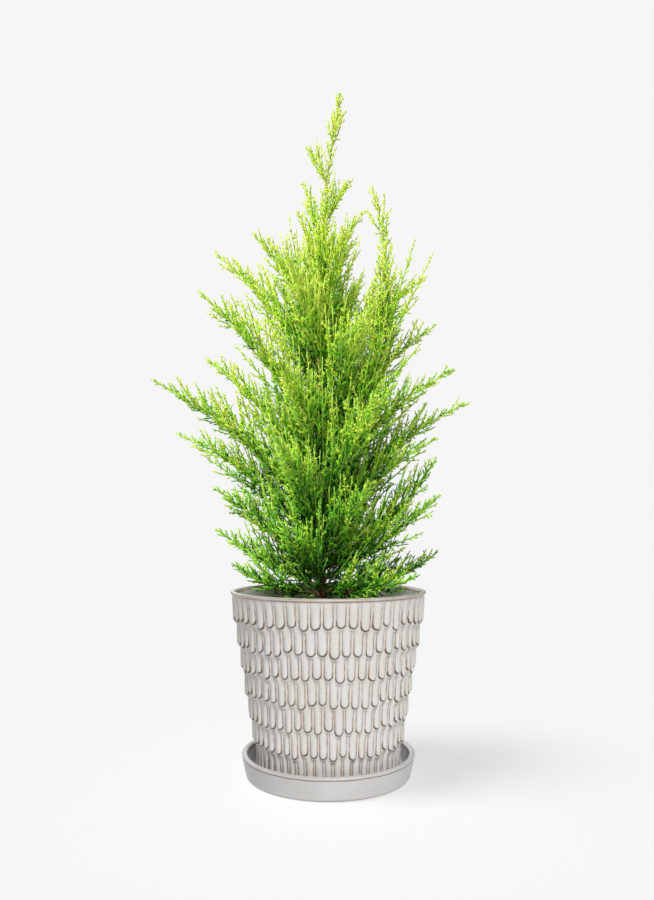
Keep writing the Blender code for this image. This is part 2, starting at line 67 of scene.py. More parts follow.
def signed_volume(points, faces):
    """A sixth of the sum of a.(b x c) over the triangles that fan each face."""
    total = 0.0
    for group in faces:
        first = points[group[:, 0]]
        for corner in range(1, group.shape[1] - 1):
            across = np.cross(points[group[:, corner]], points[group[:, corner + 1]])
            total += (first * across).sum()
    return total / 6


def mesh_object(name, points, faces, finish, smooth=True, uv=None, closed=True):
    """An object at the origin from points (n, 3) and a list of arrays of corners, one array for
    each number of corners. uv holds one array of (face, corner, 2) for each of those arrays.
    Only a closed skin is turned round when its volume is negative."""
    points = np.asarray(points, np.float64).reshape(-1, 3)
    faces = [np.asarray(group, np.int64) for group in faces if len(group)]
    if closed and signed_volume(points, faces) < 0:
        faces = [group[:, ::-1] for group in faces]
        uv = None if uv is None else [group[:, ::-1] for group in uv]
    mesh = bpy.data.meshes.new(name)
    corners = np.concatenate([group.ravel() for group in faces]).astype(np.int32)
    sizes = np.concatenate([np.full(len(group), group.shape[1]) for group in faces])
    mesh.vertices.add(len(points))
    mesh.vertices.foreach_set("co", points.astype(np.float32).ravel())
    mesh.loops.add(len(corners))
    mesh.loops.foreach_set("vertex_index", corners)
    mesh.polygons.add(len(sizes))
    starts = np.concatenate([[0], np.cumsum(sizes)[:-1]]).astype(np.int32)
    mesh.polygons.foreach_set("loop_start", starts)
    mesh.polygons.foreach_set("use_smooth", np.full(len(sizes), smooth))
    if uv is not None:
        layer = mesh.uv_layers.new(name="UVMap")
        flat = np.concatenate([group.reshape(-1, 2) for group in uv])
        layer.uv.foreach_set("vector", flat.astype(np.float32).ravel())
    mesh.update(calc_edges=True)
    mesh.validate()
    mesh.materials.append(finish)
    thing = bpy.data.objects.new(name, mesh)
    bpy.context.scene.collection.objects.link(thing)
    triangles = int((sizes - 2).sum())
    print(f"{name}: {triangles} triangles")
    return thing


def ring_faces(rows, columns):
    """Corners of the quads of a grid whose columns close on themselves."""
    row, column = np.meshgrid(np.arange(rows - 1), np.arange(columns), indexing="ij")
    after = (column + 1) % columns
    quads = [row * columns + column, row * columns + after]
    quads += [(row + 1) * columns + after, (row + 1) * columns + column]
    return np.stack(quads, axis=-1).reshape(-1, 4)


def turned_points(radius, height, columns):
    """Points of a round skin: radius and height for each row, swept once round Z."""
    angle = np.arange(columns) * 2 * math.pi / columns
    radius, height = np.asarray(radius)[:, None], np.asarray(height)[:, None]
    sweep = [radius * np.cos(angle), radius * np.sin(angle), height + 0 * angle]
    return np.stack(sweep, axis=-1)


def closing_fans(rows, columns, count):
    """Triangles that join the first and the last ring to two pole points, which stand after
    the grid's own points in the list."""
    here = np.arange(columns)
    after = (here + 1) % columns
    last = (rows - 1) * columns
    low = np.stack([np.full(columns, count), after, here], axis=1)
    high = np.stack([np.full(columns, count + 1), last + here, last + after], axis=1)
    return np.concatenate([low, high])


def smooth_step(value):
    """0 below 0, 1 above 1, and 3v^2 - 2v^3 between."""
    value = np.clip(value, 0, 1)
    return value * value * (3 - 2 * value)


# %% [markdown]
# A finish is a small net of shader nodes. Most of these start from a soft noise that is read at
# the object's own coordinates, so the pattern sits still on the piece. A short helper wires one
# node to the next, which keeps each finish readable as a list of what is mixed with what.


# %% Helpers for the finishes
class Finish:
    """One Principled material and short ways to add nodes to it."""

    def __init__(self, name, roughness):
        self.material = bpy.data.materials.new(name)
        self.material.use_nodes = True
        self.tree = self.material.node_tree
        self.shader = self.tree.nodes["Principled BSDF"]
        self.shader.inputs["Roughness"].default_value = roughness
        self.place = self.add("ShaderNodeTexCoord").outputs["Object"]

    def add(self, kind, values=None, **settings):
        node = self.tree.nodes.new(kind)
        for key, value in settings.items():
            setattr(node, key, value)
        for key, value in (values or {}).items():
            if isinstance(value, bpy.types.NodeSocket):
                self.tree.links.new(value, node.inputs[key])
            else:
                node.inputs[key].default_value = value
        return node

    def noise(self, scale, detail=3.0, place=None):
        values = {"Vector": place or self.place, "Scale": scale, "Detail": detail}
        return self.add("ShaderNodeTexNoise", values).outputs["Fac"]

    def ramp(self, value, low, high, out_low=0.0, out_high=1.0):
        """The value carried smoothly from low..high to out_low..out_high."""
        values = {"Value": value, "From Min": low, "From Max": high}
        values.update({"To Min": out_low, "To Max": out_high})
        node = self.add("ShaderNodeMapRange", values, interpolation_type="SMOOTHSTEP")
        return node.outputs["Result"]

    def math(self, operation, first, second=0.0):
        return self.add("ShaderNodeMath", {0: first, 1: second}, operation=operation).outputs[0]

    def mix(self, share, first, second):
        values = {"Factor": share, "A": first, "B": second}
        node = self.add("ShaderNodeMix", data_type="RGBA")
        for key, value in values.items():
            socket = next(s for s in node.inputs if s.name == key and s.enabled)
            if isinstance(value, bpy.types.NodeSocket):
                self.tree.links.new(value, socket)
            elif key == "Factor":
                socket.default_value = value
            else:
                socket.default_value = (*value, 1.0)
        return next(s for s in node.outputs if s.enabled)

    def set(self, name, value):
        self.tree.links.new(value, self.shader.inputs[name])

    def bump(self, height, distance, strength=1.0):
        values = {"Height": height, "Distance": distance, "Strength": strength}
        self.set("Normal", self.add("ShaderNodeBump", values).outputs["Normal"])


# %% [markdown]
# The camera comes early. Its distance and lens were worked out from the ellipses of the rim,
# of the tiers and of the saucer: it stands a little above the rim, close by, and looks up by
# some six degrees to take in the leader.

# %% Camera
CAMERA_PLACE = (-0.00115, -0.6864, 0.2177)
CAMERA_PITCH = 0.1012
LENS = 29.83

lens = bpy.data.cameras.new("camera")
lens.lens = LENS
lens.sensor_width = 36.0
lens.clip_start = 0.01
camera = bpy.data.objects.new("camera", lens)
camera.location = CAMERA_PLACE
camera.rotation_euler = (math.pi / 2 + CAMERA_PITCH, 0.0, 0.0)
bpy.context.scene.collection.objects.link(camera)
bpy.context.scene.camera = camera
print(f"camera {CAMERA_PLACE}, lens {LENS} mm")

# %% [markdown]
# The studio is a white room. A broad soft light stands behind the camera and does most of the
# work, a smaller one from the left throws the soft shadow beside the saucer, and the white
# room fills the rest. Distant lights with a wide angle stay even over the whole floor, so the
# floor fades into the background with no line.

# %% Light and floor
BACKGROUND = 0.92
ROOM_LIGHT = 0.06
FLOOR_SIZE = 12.0
FLOOR_GLOW = 0.66
Light = namedtuple("Light", "strength spread elevation azimuth")
POT_LIGHT = Light(3.7, 30.0, 42.0, 12.0)
PLANT_LIGHT = Light(3.95, 30.0, 42.0, -30.0)
LEFT_LIGHT = Light(1.60, 20.0, 70.0, -68.0)
BACK_LIGHT = Light(1.25, 60.0, 35.0, 200.0)


def studio_light(name, settings):
    """A distant light: its azimuth is counted from the camera's side towards +X."""
    light = bpy.data.lights.new(name, "SUN")
    light.energy = settings.strength
    light.angle = math.radians(settings.spread)
    thing = bpy.data.objects.new(name, light)
    tilt = math.radians(90 - settings.elevation)
    thing.rotation_euler = (tilt, 0.0, math.radians(settings.azimuth))
    bpy.context.scene.collection.objects.link(thing)
    return thing


def keep_off(light, *things):
    """The light passes these things by, as if a card stood between, and lights the rest."""
    shaded = bpy.data.collections.new(f"{light.name}_receivers")
    for thing in things:
        shaded.objects.link(thing)
    for entry in shaded.collection_objects:
        entry.light_linking.link_state = "EXCLUDE"
    light.light_linking.receiver_collection = shaded


def floor_shade():
    """The paper's shade for which its light, sent back, is as bright as the background."""
    sent = LEFT_LIGHT.strength * math.sin(math.radians(LEFT_LIGHT.elevation))
    return (BACKGROUND - FLOOR_GLOW) / (ROOM_LIGHT + sent / math.pi)


def white_room():
    world = bpy.data.worlds.new("white_room")
    bpy.context.scene.world = world
    world.use_nodes = True
    tree = world.node_tree
    seen = tree.nodes["Background"]
    seen.inputs["Color"].default_value = (BACKGROUND, BACKGROUND, BACKGROUND, 1.0)
    fill = tree.nodes.new("ShaderNodeBackground")
    fill.inputs["Color"].default_value = (ROOM_LIGHT, ROOM_LIGHT, ROOM_LIGHT, 1.0)
    path = tree.nodes.new("ShaderNodeLightPath")
    choice = tree.nodes.new("ShaderNodeMixShader")
    tree.links.new(path.outputs["Is Camera Ray"], choice.inputs[0])
    tree.links.new(fill.outputs[0], choice.inputs[1])
    tree.links.new(seen.outputs[0], choice.inputs[2])
    tree.links.new(choice.outputs[0], tree.nodes["World Output"].inputs["Surface"])


def floor_finish():
    finish = Finish("floor_paper", 0.9)
    tone = finish.ramp(finish.noise(3.0), 0.3, 0.7, 0.0, 1.0)
    pale = (floor_shade(),) * 3
    finish.set("Base Color", finish.mix(tone, pale, tuple(0.995 * v for v in pale)))
    finish.shader.inputs["Specular IOR Level"].default_value = 0.0
    finish.shader.inputs["Emission Color"].default_value = (1.0, 1.0, 1.0, 1.0)
    finish.shader.inputs["Emission Strength"].default_value = FLOOR_GLOW
    return finish.material


def build_floor():
    """A round sheet: rings of points that widen from the middle outwards."""
    columns = 96
    reach = np.geomspace(0.1, FLOOR_SIZE, 24)
    top = turned_points(reach, 0 * reach, columns)
    under = turned_points(reach[::-1], 0 * reach - 0.002, columns)
    grid = np.concatenate([top, under])
    poles = [(0, 0, 0), (0, 0, -0.002)]
    faces = [ring_faces(len(grid), columns), closing_fans(len(grid), columns, grid.size // 3)]
    points = np.vstack([grid.reshape(-1, 3), poles])
    floor = mesh_object("floor", points, faces, floor_finish(), smooth=False)
    return floor


white_room()
pot_light = studio_light("pot_light", POT_LIGHT)
plant_light = studio_light("plant_light", PLANT_LIGHT)
left_light = studio_light("left_light", LEFT_LIGHT)
back_light = studio_light("back_light", BACK_LIGHT)
floor = build_floor()
keep_off(back_light, floor)
bpy.context.scene.view_settings.view_transform = "Standard"
print(f"floor shade {floor_shade():.3f}")

# %% [markdown]
# The pot's outside is one grid of points. Its columns run round the pot, twenty to a tongue,
# close together where a groove falls. Its rows don't run level: they follow the scalloped
# lower edge of each tier, so that the round end of every tongue is a clean curve instead of a
# staircase. Tiers are staggered by half a tongue, and each tongue has its own length and width,
# as hand carving has.

# %% Sizes of the pot
RIM_RADIUS = 0.088
RIM_HEIGHT = 0.160
WALL = 0.005
LIP_HEIGHT = 0.0034
TIER_COUNT = 7
FLUTES = 52
FIRST_EDGE_DROP = 0.285 * RIM_RADIUS
TIER_PITCH = 0.235 * RIM_RADIUS
FIRST_EDGE_RADIUS = 0.971 * RIM_RADIUS
NECK_RADIUS = 0.986 * RIM_RADIUS
TIER_SHRINK = 0.0036
TIER_STEP = 0.0030
SAUCER_FLOOR = 0.006
POT_FLOOR = 0.006
GAP = 0.0003
HALF_TONGUE = 0.37
TONGUE_CROWN = 0.0014
LENGTH_JITTER = 0.0023
EDGE_STEP = 0.0021
TOP_ROUND = 4.0
TOP_SHIFT = 0.0030
GROOVE_SPLITS = (0.0, 0.05, 0.09, 0.125, 0.16, 0.25, 0.34, 0.375, 0.41, 0.45)
SEED = 7


def tier_edge_height(tier):
    return RIM_HEIGHT - FIRST_EDGE_DROP - tier * TIER_PITCH


def tier_edge_radius(tier):
    return FIRST_EDGE_RADIUS - tier * TIER_SHRINK


def inner_radius(height):
    """The pot's inside is a plain cone between its floor and its rim."""
    low = tier_edge_radius(TIER_COUNT - 1) - WALL
    share = (height - SAUCER_FLOOR) / (RIM_HEIGHT - SAUCER_FLOOR)
    return low + (RIM_RADIUS - WALL - low) * share


# %% Tongues
splits = np.array(GROOVE_SPLITS)
across_pot = (np.arange(2 * FLUTES)[:, None] / 2 + splits).ravel()
COLUMNS = len(across_pot)
carving = np.random.default_rng(SEED)
tongue_length = carving.uniform(-1, 1, (TIER_COUNT, FLUTES)) * LENGTH_JITTER
tongue_width = HALF_TONGUE * carving.uniform(0.86, 1.10, (TIER_COUNT, FLUTES))
tongue_shift = carving.uniform(-0.05, 0.05, (TIER_COUNT, FLUTES))


def tongue_at(tier, across):
    """Which tongue a place round the pot belongs to, and how far it is from that tongue's
    middle, counted in tongues."""
    place = across - 0.5 * (tier % 2)
    number = np.floor(place + 0.5).astype(int)
    middle = tongue_shift[tier, number % FLUTES]
    return number % FLUTES, place - number, middle


def edge_curve(tier):
    """Height of a tier's lower edge round the pot. Under a tongue it is a half circle as wide
    as the tongue; in the groove it runs straight to the next tongue's circle."""
    number, place, middle = tongue_at(tier, across_pot)
    pitch = 2 * math.pi * tier_edge_radius(tier) / FLUTES
    width = tongue_width[tier, number]
    off = np.abs(place - middle * np.cos(place * math.pi))
    half = width * pitch
    inside = np.clip(off / width, 0, 1)
    rise = half * (1 - np.sqrt(1 - inside**2))
    level = tier_edge_height(tier) + tongue_length[tier, number] + rise
    side = np.sign(place).astype(int)
    other = (number + side) % FLUTES
    next_level = tier_edge_height(tier) + tongue_length[tier, other]
    next_level = next_level + tongue_width[tier, other] * pitch
    halfway = (level + next_level) / 2
    share = np.clip((off - width) / np.maximum(0.5 - width, 1e-6), 0, 1)
    return level + (halfway - level) * share


def tongue_skin(tier, along):
    """Radius of a tier round the pot at a share of the way down it. A tongue is a little
    crowned, and the groove beside it starts at nothing and ends as deep as the step at its end.
    The rest of the way in to the next tier is a gentle slope at that tier's top."""
    number, place, middle = tongue_at(tier, across_pot)
    width = tongue_width[tier, number]
    off = np.abs(place - middle * np.cos(place * math.pi))
    top = NECK_RADIUS if tier == 0 else tier_edge_radius(tier) + TIER_SHRINK - TIER_STEP
    face = top + (tier_edge_radius(tier) - top) * along
    if tier > 0:
        face = face + (TIER_STEP - EDGE_STEP) * (1 - smooth_step(along / 0.28))
    depth = 0.15 * smooth_step(4 * along) + 0.85 * along**2.2
    crown = TONGUE_CROWN * np.clip(off / width, 0, 1) ** 2 * smooth_step(2 * along)
    fall = smooth_step((off - width + 0.02) / np.maximum(0.5 - width, 1e-6))
    return face - crown - (EDGE_STEP * depth - crown) * fall


# %% Outside, lip and inside of the pot
NOSE_DROP = np.array((1.7, 1.0, 0.3, -0.5, -1.2, -2.0)) * 0.001
NOSE_SHARE = (1.0, 0.90, 0.66, 0.33, 0.08, 0.0)
TIER_ROWS = (0.14, 0.24, 0.40, 0.60, 0.80)
LIP_PROFILE = (
    (NECK_RADIUS - 0.0004, -0.0032),
    (NECK_RADIUS, -0.0026),
    (RIM_RADIUS - 0.0006, -0.0024),
    (RIM_RADIUS - 0.0001, -0.0020),
    (RIM_RADIUS, -0.0013),
    (RIM_RADIUS - 0.0005, -0.0005),
    (RIM_RADIUS - 0.0016, 0.0),
    (RIM_RADIUS - 0.0034, -0.0001),
    (RIM_RADIUS - 0.0046, -0.0008),
    (RIM_RADIUS - 0.0051, -0.0026),
)


def pot_rows():
    """(radius, height, tier) of every row from the lip's foot down to the pot's foot. tier is
    the one whose tongues the strip below that row belongs to."""
    rows = []
    start = np.full(COLUMNS, RIM_HEIGHT + LIP_PROFILE[0][1])
    for tier in range(TIER_COUNT):
        end = edge_curve(tier)
        for along in TIER_ROWS:
            rows.append((tongue_skin(tier, along), start + (end - start) * along, tier))
        upper = tongue_skin(tier, 1.0)
        if tier < TIER_COUNT - 1:
            lower = tongue_skin(tier + 1, 0.0)
        else:
            lower = np.full(COLUMNS, tier_edge_radius(tier) - EDGE_STEP)
        for drop, share in zip(NOSE_DROP, NOSE_SHARE):
            rows.append((lower + (upper - lower) * share, end + drop, tier))
        start = end
    return rows


def glaze_map(radius, height, tiers):
    """The pot's own map: u is the place across a tongue, 1 at its side. v is 0 at the middle of
    its lower round end and TOP_ROUND at that of its upper one, and counts half widths past
    them. Off the tongues both are far away."""
    rows = len(height)
    corner_row = np.array((0, 0, 1, 1))
    corner_column = np.array((0, 1, 1, 0))
    uv = np.full((rows - 1, COLUMNS, 4, 2), 9.0)
    spacing = np.diff(across_pot, append=FLUTES)
    for row in range(rows - 1):
        tier = tiers[row + 1]
        if tier < 0:
            continue
        number, place, middle = tongue_at(tier, across_pot + spacing / 2)
        pitch = 2 * math.pi * tier_edge_radius(tier) / FLUTES
        width = tongue_width[tier, number]
        half = width * pitch
        low = tier_edge_height(tier) + tongue_length[tier, number] + half
        high = tier_edge_height(tier) + TIER_PITCH - half + TOP_SHIFT
        for corner in range(4):
            off = place + spacing * (corner_column[corner] - 0.5)
            off = off - middle * np.cos(off * math.pi)
            column = (np.arange(COLUMNS) + corner_column[corner]) % COLUMNS
            level = height[row + corner_row[corner], column]
            uv[row, :, corner, 0] = off / width
            middle_part = TOP_ROUND * (level - low) / (high - low)
            past = np.where(level < low, (level - low) / half, TOP_ROUND + (level - high) / half)
            between = (level > low) & (level < high)
            uv[row, :, corner, 1] = np.where(between, middle_part, past)
    return uv


def build_pot(finish):
    rows = [(inner_radius(level), level) for level in (SAUCER_FLOOR + GAP + POT_FLOOR, 0.09)]
    lip = [(radius, RIM_HEIGHT + drop) for radius, drop in LIP_PROFILE[::-1]]
    plain = [(np.full(COLUMNS, r), np.full(COLUMNS, z), -1) for r, z in rows + lip]
    foot_radius = tier_edge_radius(TIER_COUNT - 1) - TIER_STEP - 0.0010
    foot = [(foot_radius, SAUCER_FLOOR + 0.0022), (foot_radius - 0.0012, SAUCER_FLOOR + GAP)]
    ending = [(np.full(COLUMNS, r), np.full(COLUMNS, z), -1) for r, z in foot]
    everything = plain + pot_rows() + ending
    radius = np.array([row[0] for row in everything])
    height = np.array([row[1] for row in everything])
    tiers = [row[2] for row in everything]
    angle = across_pot * 2 * math.pi / FLUTES - math.pi / 2
    grid = np.stack([radius * np.cos(angle), radius * np.sin(angle), height], axis=-1)
    floor_level = SAUCER_FLOOR + GAP + POT_FLOOR
    poles = [(0, 0, floor_level), (0, 0, SAUCER_FLOOR + GAP)]
    fans = closing_fans(len(grid), COLUMNS, grid.size // 3)
    uv = glaze_map(radius, height, tiers)
    points = np.vstack([grid.reshape(-1, 3), poles])
    far = np.full((len(fans), 3, 2), 9.0)
    faces = [ring_faces(len(grid), COLUMNS), fans]
    return mesh_object("scalloped_pot", points, faces, finish, uv=[uv.reshape(-1, 4, 2), far])


# %% [markdown]
# The glaze is thick in the hollows and thin on the edges, where iron in the clay shows through
# as brown. The map laid on the tongues makes that easy to paint: the length of (u, the part of
# v below 0) is 1 all along a tongue's outline, down both sides and round its end. A narrow band
# about 1 is the brown line. It is full at the round end and breaks up along the sides. Round
# the end it is also wider and a darker brown: partly iron, partly painted shade under the overhang.

# %% Glaze of the pot
GLAZE_PALE = (0.548, 0.524, 0.492)
GLAZE_COOL = (0.572, 0.563, 0.548)
GLAZE_WARM = (0.450, 0.406, 0.358)
GLAZE_POOLED = (0.560, 0.545, 0.520)
INSIDE_PAINTED_LIGHT = (0.760, 0.740, 0.700)
CLAY_TAN = (0.400, 0.310, 0.240)
IRON_TAN = (0.215, 0.128, 0.072)
IRON_BROWN = (0.105, 0.065, 0.038)
IRON_DARK = (0.120, 0.072, 0.042)


def tongue_outline(finish):
    """How far a place is from the middle line of its tongue, 1 at the outline, and its level."""
    mapped = finish.add("ShaderNodeUVMap").outputs["UV"]
    parts = finish.add("ShaderNodeSeparateXYZ", {"Vector": mapped})
    side, level = parts.outputs["X"], parts.outputs["Y"]
    below = finish.math("MINIMUM", level, 0.0)
    above = finish.math("MAXIMUM", finish.math("SUBTRACT", level, TOP_ROUND), 0.0)
    past = finish.math("ADD", below, above)
    spot = finish.add("ShaderNodeCombineXYZ", {"X": side, "Y": past}).outputs[0]
    return finish.add("ShaderNodeVectorMath", {0: spot}, operation="LENGTH").outputs["Value"], level


def iron_line(finish, reach, level):
    """Strength of the brown line: full round the lower end, broken and fading up the sides."""
    wander = finish.ramp(finish.noise(420.0, 2.0), 0.3, 0.7, -0.05, 0.05)
    off = finish.math("ABSOLUTE", finish.math("ADD", finish.math("SUBTRACT", reach, 1.0), wander))
    # Round the lower end the line is wider, and the caller darkens it there: iron on the edge and painted shade
    # under the overhang.
    low = finish.ramp(level, 0.7, -0.5)
    half_width = finish.ramp(level, 0.7, -0.7, 0.14, 0.25)
    line = finish.ramp(finish.math("DIVIDE", off, half_width), 1.0, 0.3)
    fade = finish.ramp(level, 4.4, 1.6, 0.35, 1.0)
    broken = finish.ramp(finish.noise(170.0, 3.0), 0.34, 0.52, 0.35, 1.0)
    sides = finish.math("MULTIPLY", finish.math("MULTIPLY", line, fade), broken)
    return finish.math("MAXIMUM", sides, finish.math("MULTIPLY", line, low)), low


def lip_band(finish, height, low, high):
    """1 between two levels under the rim, with soft edges."""
    soft = 0.0004
    up = finish.ramp(height, RIM_HEIGHT - low, RIM_HEIGHT - low + soft)
    down = finish.ramp(height, RIM_HEIGHT - high, RIM_HEIGHT - high - soft)
    return finish.math("MULTIPLY", up, down)


def pot_glaze():
    finish = Finish("pot_glaze", 0.34)
    reach, level = tongue_outline(finish)
    strength, low = iron_line(finish, reach, level)
    base = finish.mix(finish.ramp(finish.noise(34.0), 0.35, 0.65), GLAZE_PALE, GLAZE_COOL)
    border = finish.ramp(reach, 0.45, 0.95)
    thin = finish.math("MULTIPLY", border, finish.ramp(finish.noise(90.0), 0.35, 0.7, 0.15, 0.75))
    base = finish.mix(thin, base, GLAZE_WARM)
    pooled = finish.ramp(reach, 1.08, 1.45, 0.0, 1.0)
    covered = finish.ramp(level, TOP_ROUND + 0.6, TOP_ROUND - 1.6)
    base = finish.mix(finish.math("MULTIPLY", pooled, covered), base, GLAZE_POOLED)
    # At the lower end of each groove the glaze is darkened to the warm tone: painted shade over a spot the front
    # light catches.
    ledge_painted_shade = finish.math("MULTIPLY", finish.ramp(reach, 1.15, 1.50), finish.ramp(level, 0.8, -0.2, 0.0, 0.6))
    base = finish.mix(ledge_painted_shade, base, GLAZE_WARM)
    # Round the tongue's end the line goes from tan to dark brown: iron on the edge, and painted shade under the
    # overhang.
    colour = finish.mix(strength, base, finish.mix(low, IRON_TAN, IRON_BROWN))
    parts = finish.add("ShaderNodeSeparateXYZ", {"Vector": finish.place})
    height = parts.outputs["Z"]
    level_place = finish.add("ShaderNodeCombineXYZ", {"X": parts.outputs["X"], "Y": parts.outputs["Y"]})
    radius = finish.add("ShaderNodeVectorMath", {0: level_place.outputs[0]}, operation="LENGTH")
    # The inner wall just under the rim is painted paler than the glaze: painted light that lifts the shade the
    # plant throws into the pot.
    inside = finish.ramp(radius.outputs["Value"], RIM_RADIUS - 0.0046, RIM_RADIUS - 0.0050)
    above = finish.ramp(height, RIM_HEIGHT - 0.018, RIM_HEIGHT - 0.016)
    colour = finish.mix(finish.math("MULTIPLY", inside, above), colour, INSIDE_PAINTED_LIGHT)
    uneven = finish.ramp(finish.noise(120.0), 0.25, 0.6, 0.45, 1.0)
    band = finish.math("MULTIPLY", lip_band(finish, height, 0.0028, 0.0007), finish.math("MULTIPLY", uneven, 0.50))
    colour = finish.mix(band, colour, CLAY_TAN)
    edges = finish.math("ADD", lip_band(finish, height, 0.0034, 0.0023), lip_band(finish, height, 0.0011, 0.0003))
    edges = finish.math("MULTIPLY", edges, finish.math("MULTIPLY", uneven, 0.85))
    colour = finish.mix(edges, colour, IRON_TAN)
    speck = finish.ramp(finish.noise(900.0, 0.0), 0.82, 0.86, 0.0, 0.5)
    colour = finish.mix(speck, colour, IRON_DARK)
    finish.set("Base Color", colour)
    gloss = finish.ramp(finish.noise(150.0), 0.3, 0.7, 0.27, 0.42)
    finish.set("Roughness", gloss)
    finish.bump(finish.noise(700.0, 2.0), 0.00008)
    return finish.material


pot = build_pot(pot_glaze())
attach(pot, "root")
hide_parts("pot")

# %% [markdown]
# The saucer is thrown on a wheel, so one profile turned once round is the whole shape: a flat
# foot, a quick curve up into the wall, a rounded lip and a flat floor. Its glaze is smooth and
# shows the clay only as a thin line under the lip and round the foot.

# %% Saucer
SAUCER_RADIUS = 0.867 * RIM_RADIUS
SAUCER_HEIGHT = 0.0200
SAUCER_FOOT_RADIUS = 0.80 * RIM_RADIUS
SAUCER_COLUMNS = 256


def saucer_profile():
    """(radius, height) from the middle of the floor, out over the lip and back under the foot."""
    foot, lip = SAUCER_FOOT_RADIUS, SAUCER_RADIUS
    bend = np.linspace(0, 1, 9)
    wall_foot = lip - 0.0036
    curve = [(foot + (wall_foot - foot) * math.sin(t * math.pi / 2),
              0.0034 * (1 - math.cos(t * math.pi / 2))) for t in bend]
    rise = [(wall_foot + 0.0034 * t**0.8, 0.0034 + 0.0150 * t) for t in (0.2, 0.45, 0.7, 0.9)]
    turn = np.linspace(0, math.pi, 11)
    middle = lip - WALL / 2
    lip_round = [(middle + WALL / 2 * math.cos(t), SAUCER_HEIGHT - 0.0013 + 0.0013 * math.sin(t))
                 for t in turn]
    inside = [(wall_foot - WALL + 0.0005, 0.0085), (wall_foot - WALL - 0.0008, 0.0068),
              (wall_foot - WALL - 0.0026, SAUCER_FLOOR), (0.03, SAUCER_FLOOR)]
    outside = [(0.03, 0.0), (foot - 0.0030, 0.0), (foot - 0.0008, 0.0002)]
    return np.array(outside + curve[1:] + rise + lip_round + inside)


def saucer_glaze():
    finish = Finish("saucer_glaze", 0.34)
    height = finish.add("ShaderNodeSeparateXYZ", {"Vector": finish.place}).outputs["Z"]
    wander = finish.ramp(finish.noise(70.0), 0.3, 0.7, -0.0002, 0.0002)
    level = finish.math("ADD", height, wander)
    pale = finish.mix(finish.ramp(finish.noise(22.0), 0.30, 0.70), (0.455, 0.445, 0.430), (0.485, 0.485, 0.475))
    up = finish.ramp(level, SAUCER_HEIGHT - 0.0026, SAUCER_HEIGHT - 0.0020)
    down = finish.ramp(level, SAUCER_HEIGHT - 0.0003, SAUCER_HEIGHT - 0.0008)
    lip = finish.math("MULTIPLY", finish.math("MULTIPLY", up, down), 0.15)
    under = finish.ramp(level, SAUCER_HEIGHT - 0.0033, SAUCER_HEIGHT - 0.0027)
    over = finish.ramp(level, SAUCER_HEIGHT - 0.0019, SAUCER_HEIGHT - 0.0024)
    edge = finish.math("MULTIPLY", finish.math("MULTIPLY", under, over), 0.85)
    foot = finish.math("MULTIPLY", finish.ramp(level, 0.0014, 0.0004), 0.7)
    colour = finish.mix(lip, pale, CLAY_TAN)
    colour = finish.mix(edge, colour, IRON_BROWN)
    colour = finish.mix(foot, colour, IRON_TAN)
    speck = finish.ramp(finish.noise(420.0, 0.0), 0.84, 0.87, 0.0, 0.5)
    colour = finish.mix(speck, colour, IRON_DARK)
    finish.set("Base Color", colour)
    finish.set("Roughness", finish.ramp(finish.noise(60.0), 0.3, 0.7, 0.30, 0.38))
    finish.bump(finish.noise(260.0, 2.0), 0.00004)
    return finish.material


def build_saucer():
    profile = saucer_profile()
    grid = turned_points(profile[:, 0], profile[:, 1], SAUCER_COLUMNS)
    poles = [(0, 0, 0), (0, 0, SAUCER_FLOOR)]
    faces = [ring_faces(len(grid), SAUCER_COLUMNS), closing_fans(len(grid), SAUCER_COLUMNS, grid.size // 3)]
    points = np.vstack([grid.reshape(-1, 3), poles])
    return mesh_object("thrown_saucer", points, faces, saucer_glaze())


saucer = build_saucer()
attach(saucer, "root")
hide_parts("saucer")
keep_off(left_light, pot, saucer)
keep_off(plant_light, pot, saucer, floor)

# %% [markdown]
# The soil is a loose mix of bark crumbs. A disc with several sizes of noise added gives lumps
# that catch the light, and a plug below it keeps the skin closed.

# %% Soil
SOIL_DROP = 0.014
SOIL_MOUND = 0.003
SOIL_COLUMNS = 160


def soil_top():
    return RIM_HEIGHT - SOIL_DROP


def lumps(x, y):
    """Crumbs from 2 to 9 mm: crossed waves of several lengths, folded so that they bulge up."""
    total = 0 * x
    chance = np.random.default_rng(SEED)
    for size, tall in ((0.009, 0.0012), (0.005, 0.0009), (0.0031, 0.0007), (0.002, 0.0004)):
        for turn in chance.uniform(0, 2 * math.pi, 3):
            along = (x * math.cos(turn) + y * math.sin(turn)) * 2 * math.pi / size
            sideways = (y * math.cos(turn) - x * math.sin(turn)) * 2 * math.pi / (1.3 * size)
            total = total + tall / 3 * np.abs(np.sin(along + 2 * np.sin(sideways * 0.7 + turn)))
    return total


def soil_finish():
    finish = Finish("potting_mix", 0.95)
    crumbs = finish.noise(420.0, 6.0)
    dark, bark = (0.020, 0.013, 0.008), (0.085, 0.045, 0.025)
    colour = finish.mix(finish.ramp(crumbs, 0.35, 0.68), dark, bark)
    chips = finish.ramp(finish.noise(230.0, 1.0), 0.66, 0.72)
    finish.set("Base Color", finish.mix(chips, colour, (0.22, 0.14, 0.08)))
    finish.bump(crumbs, 0.0008)
    return finish.material


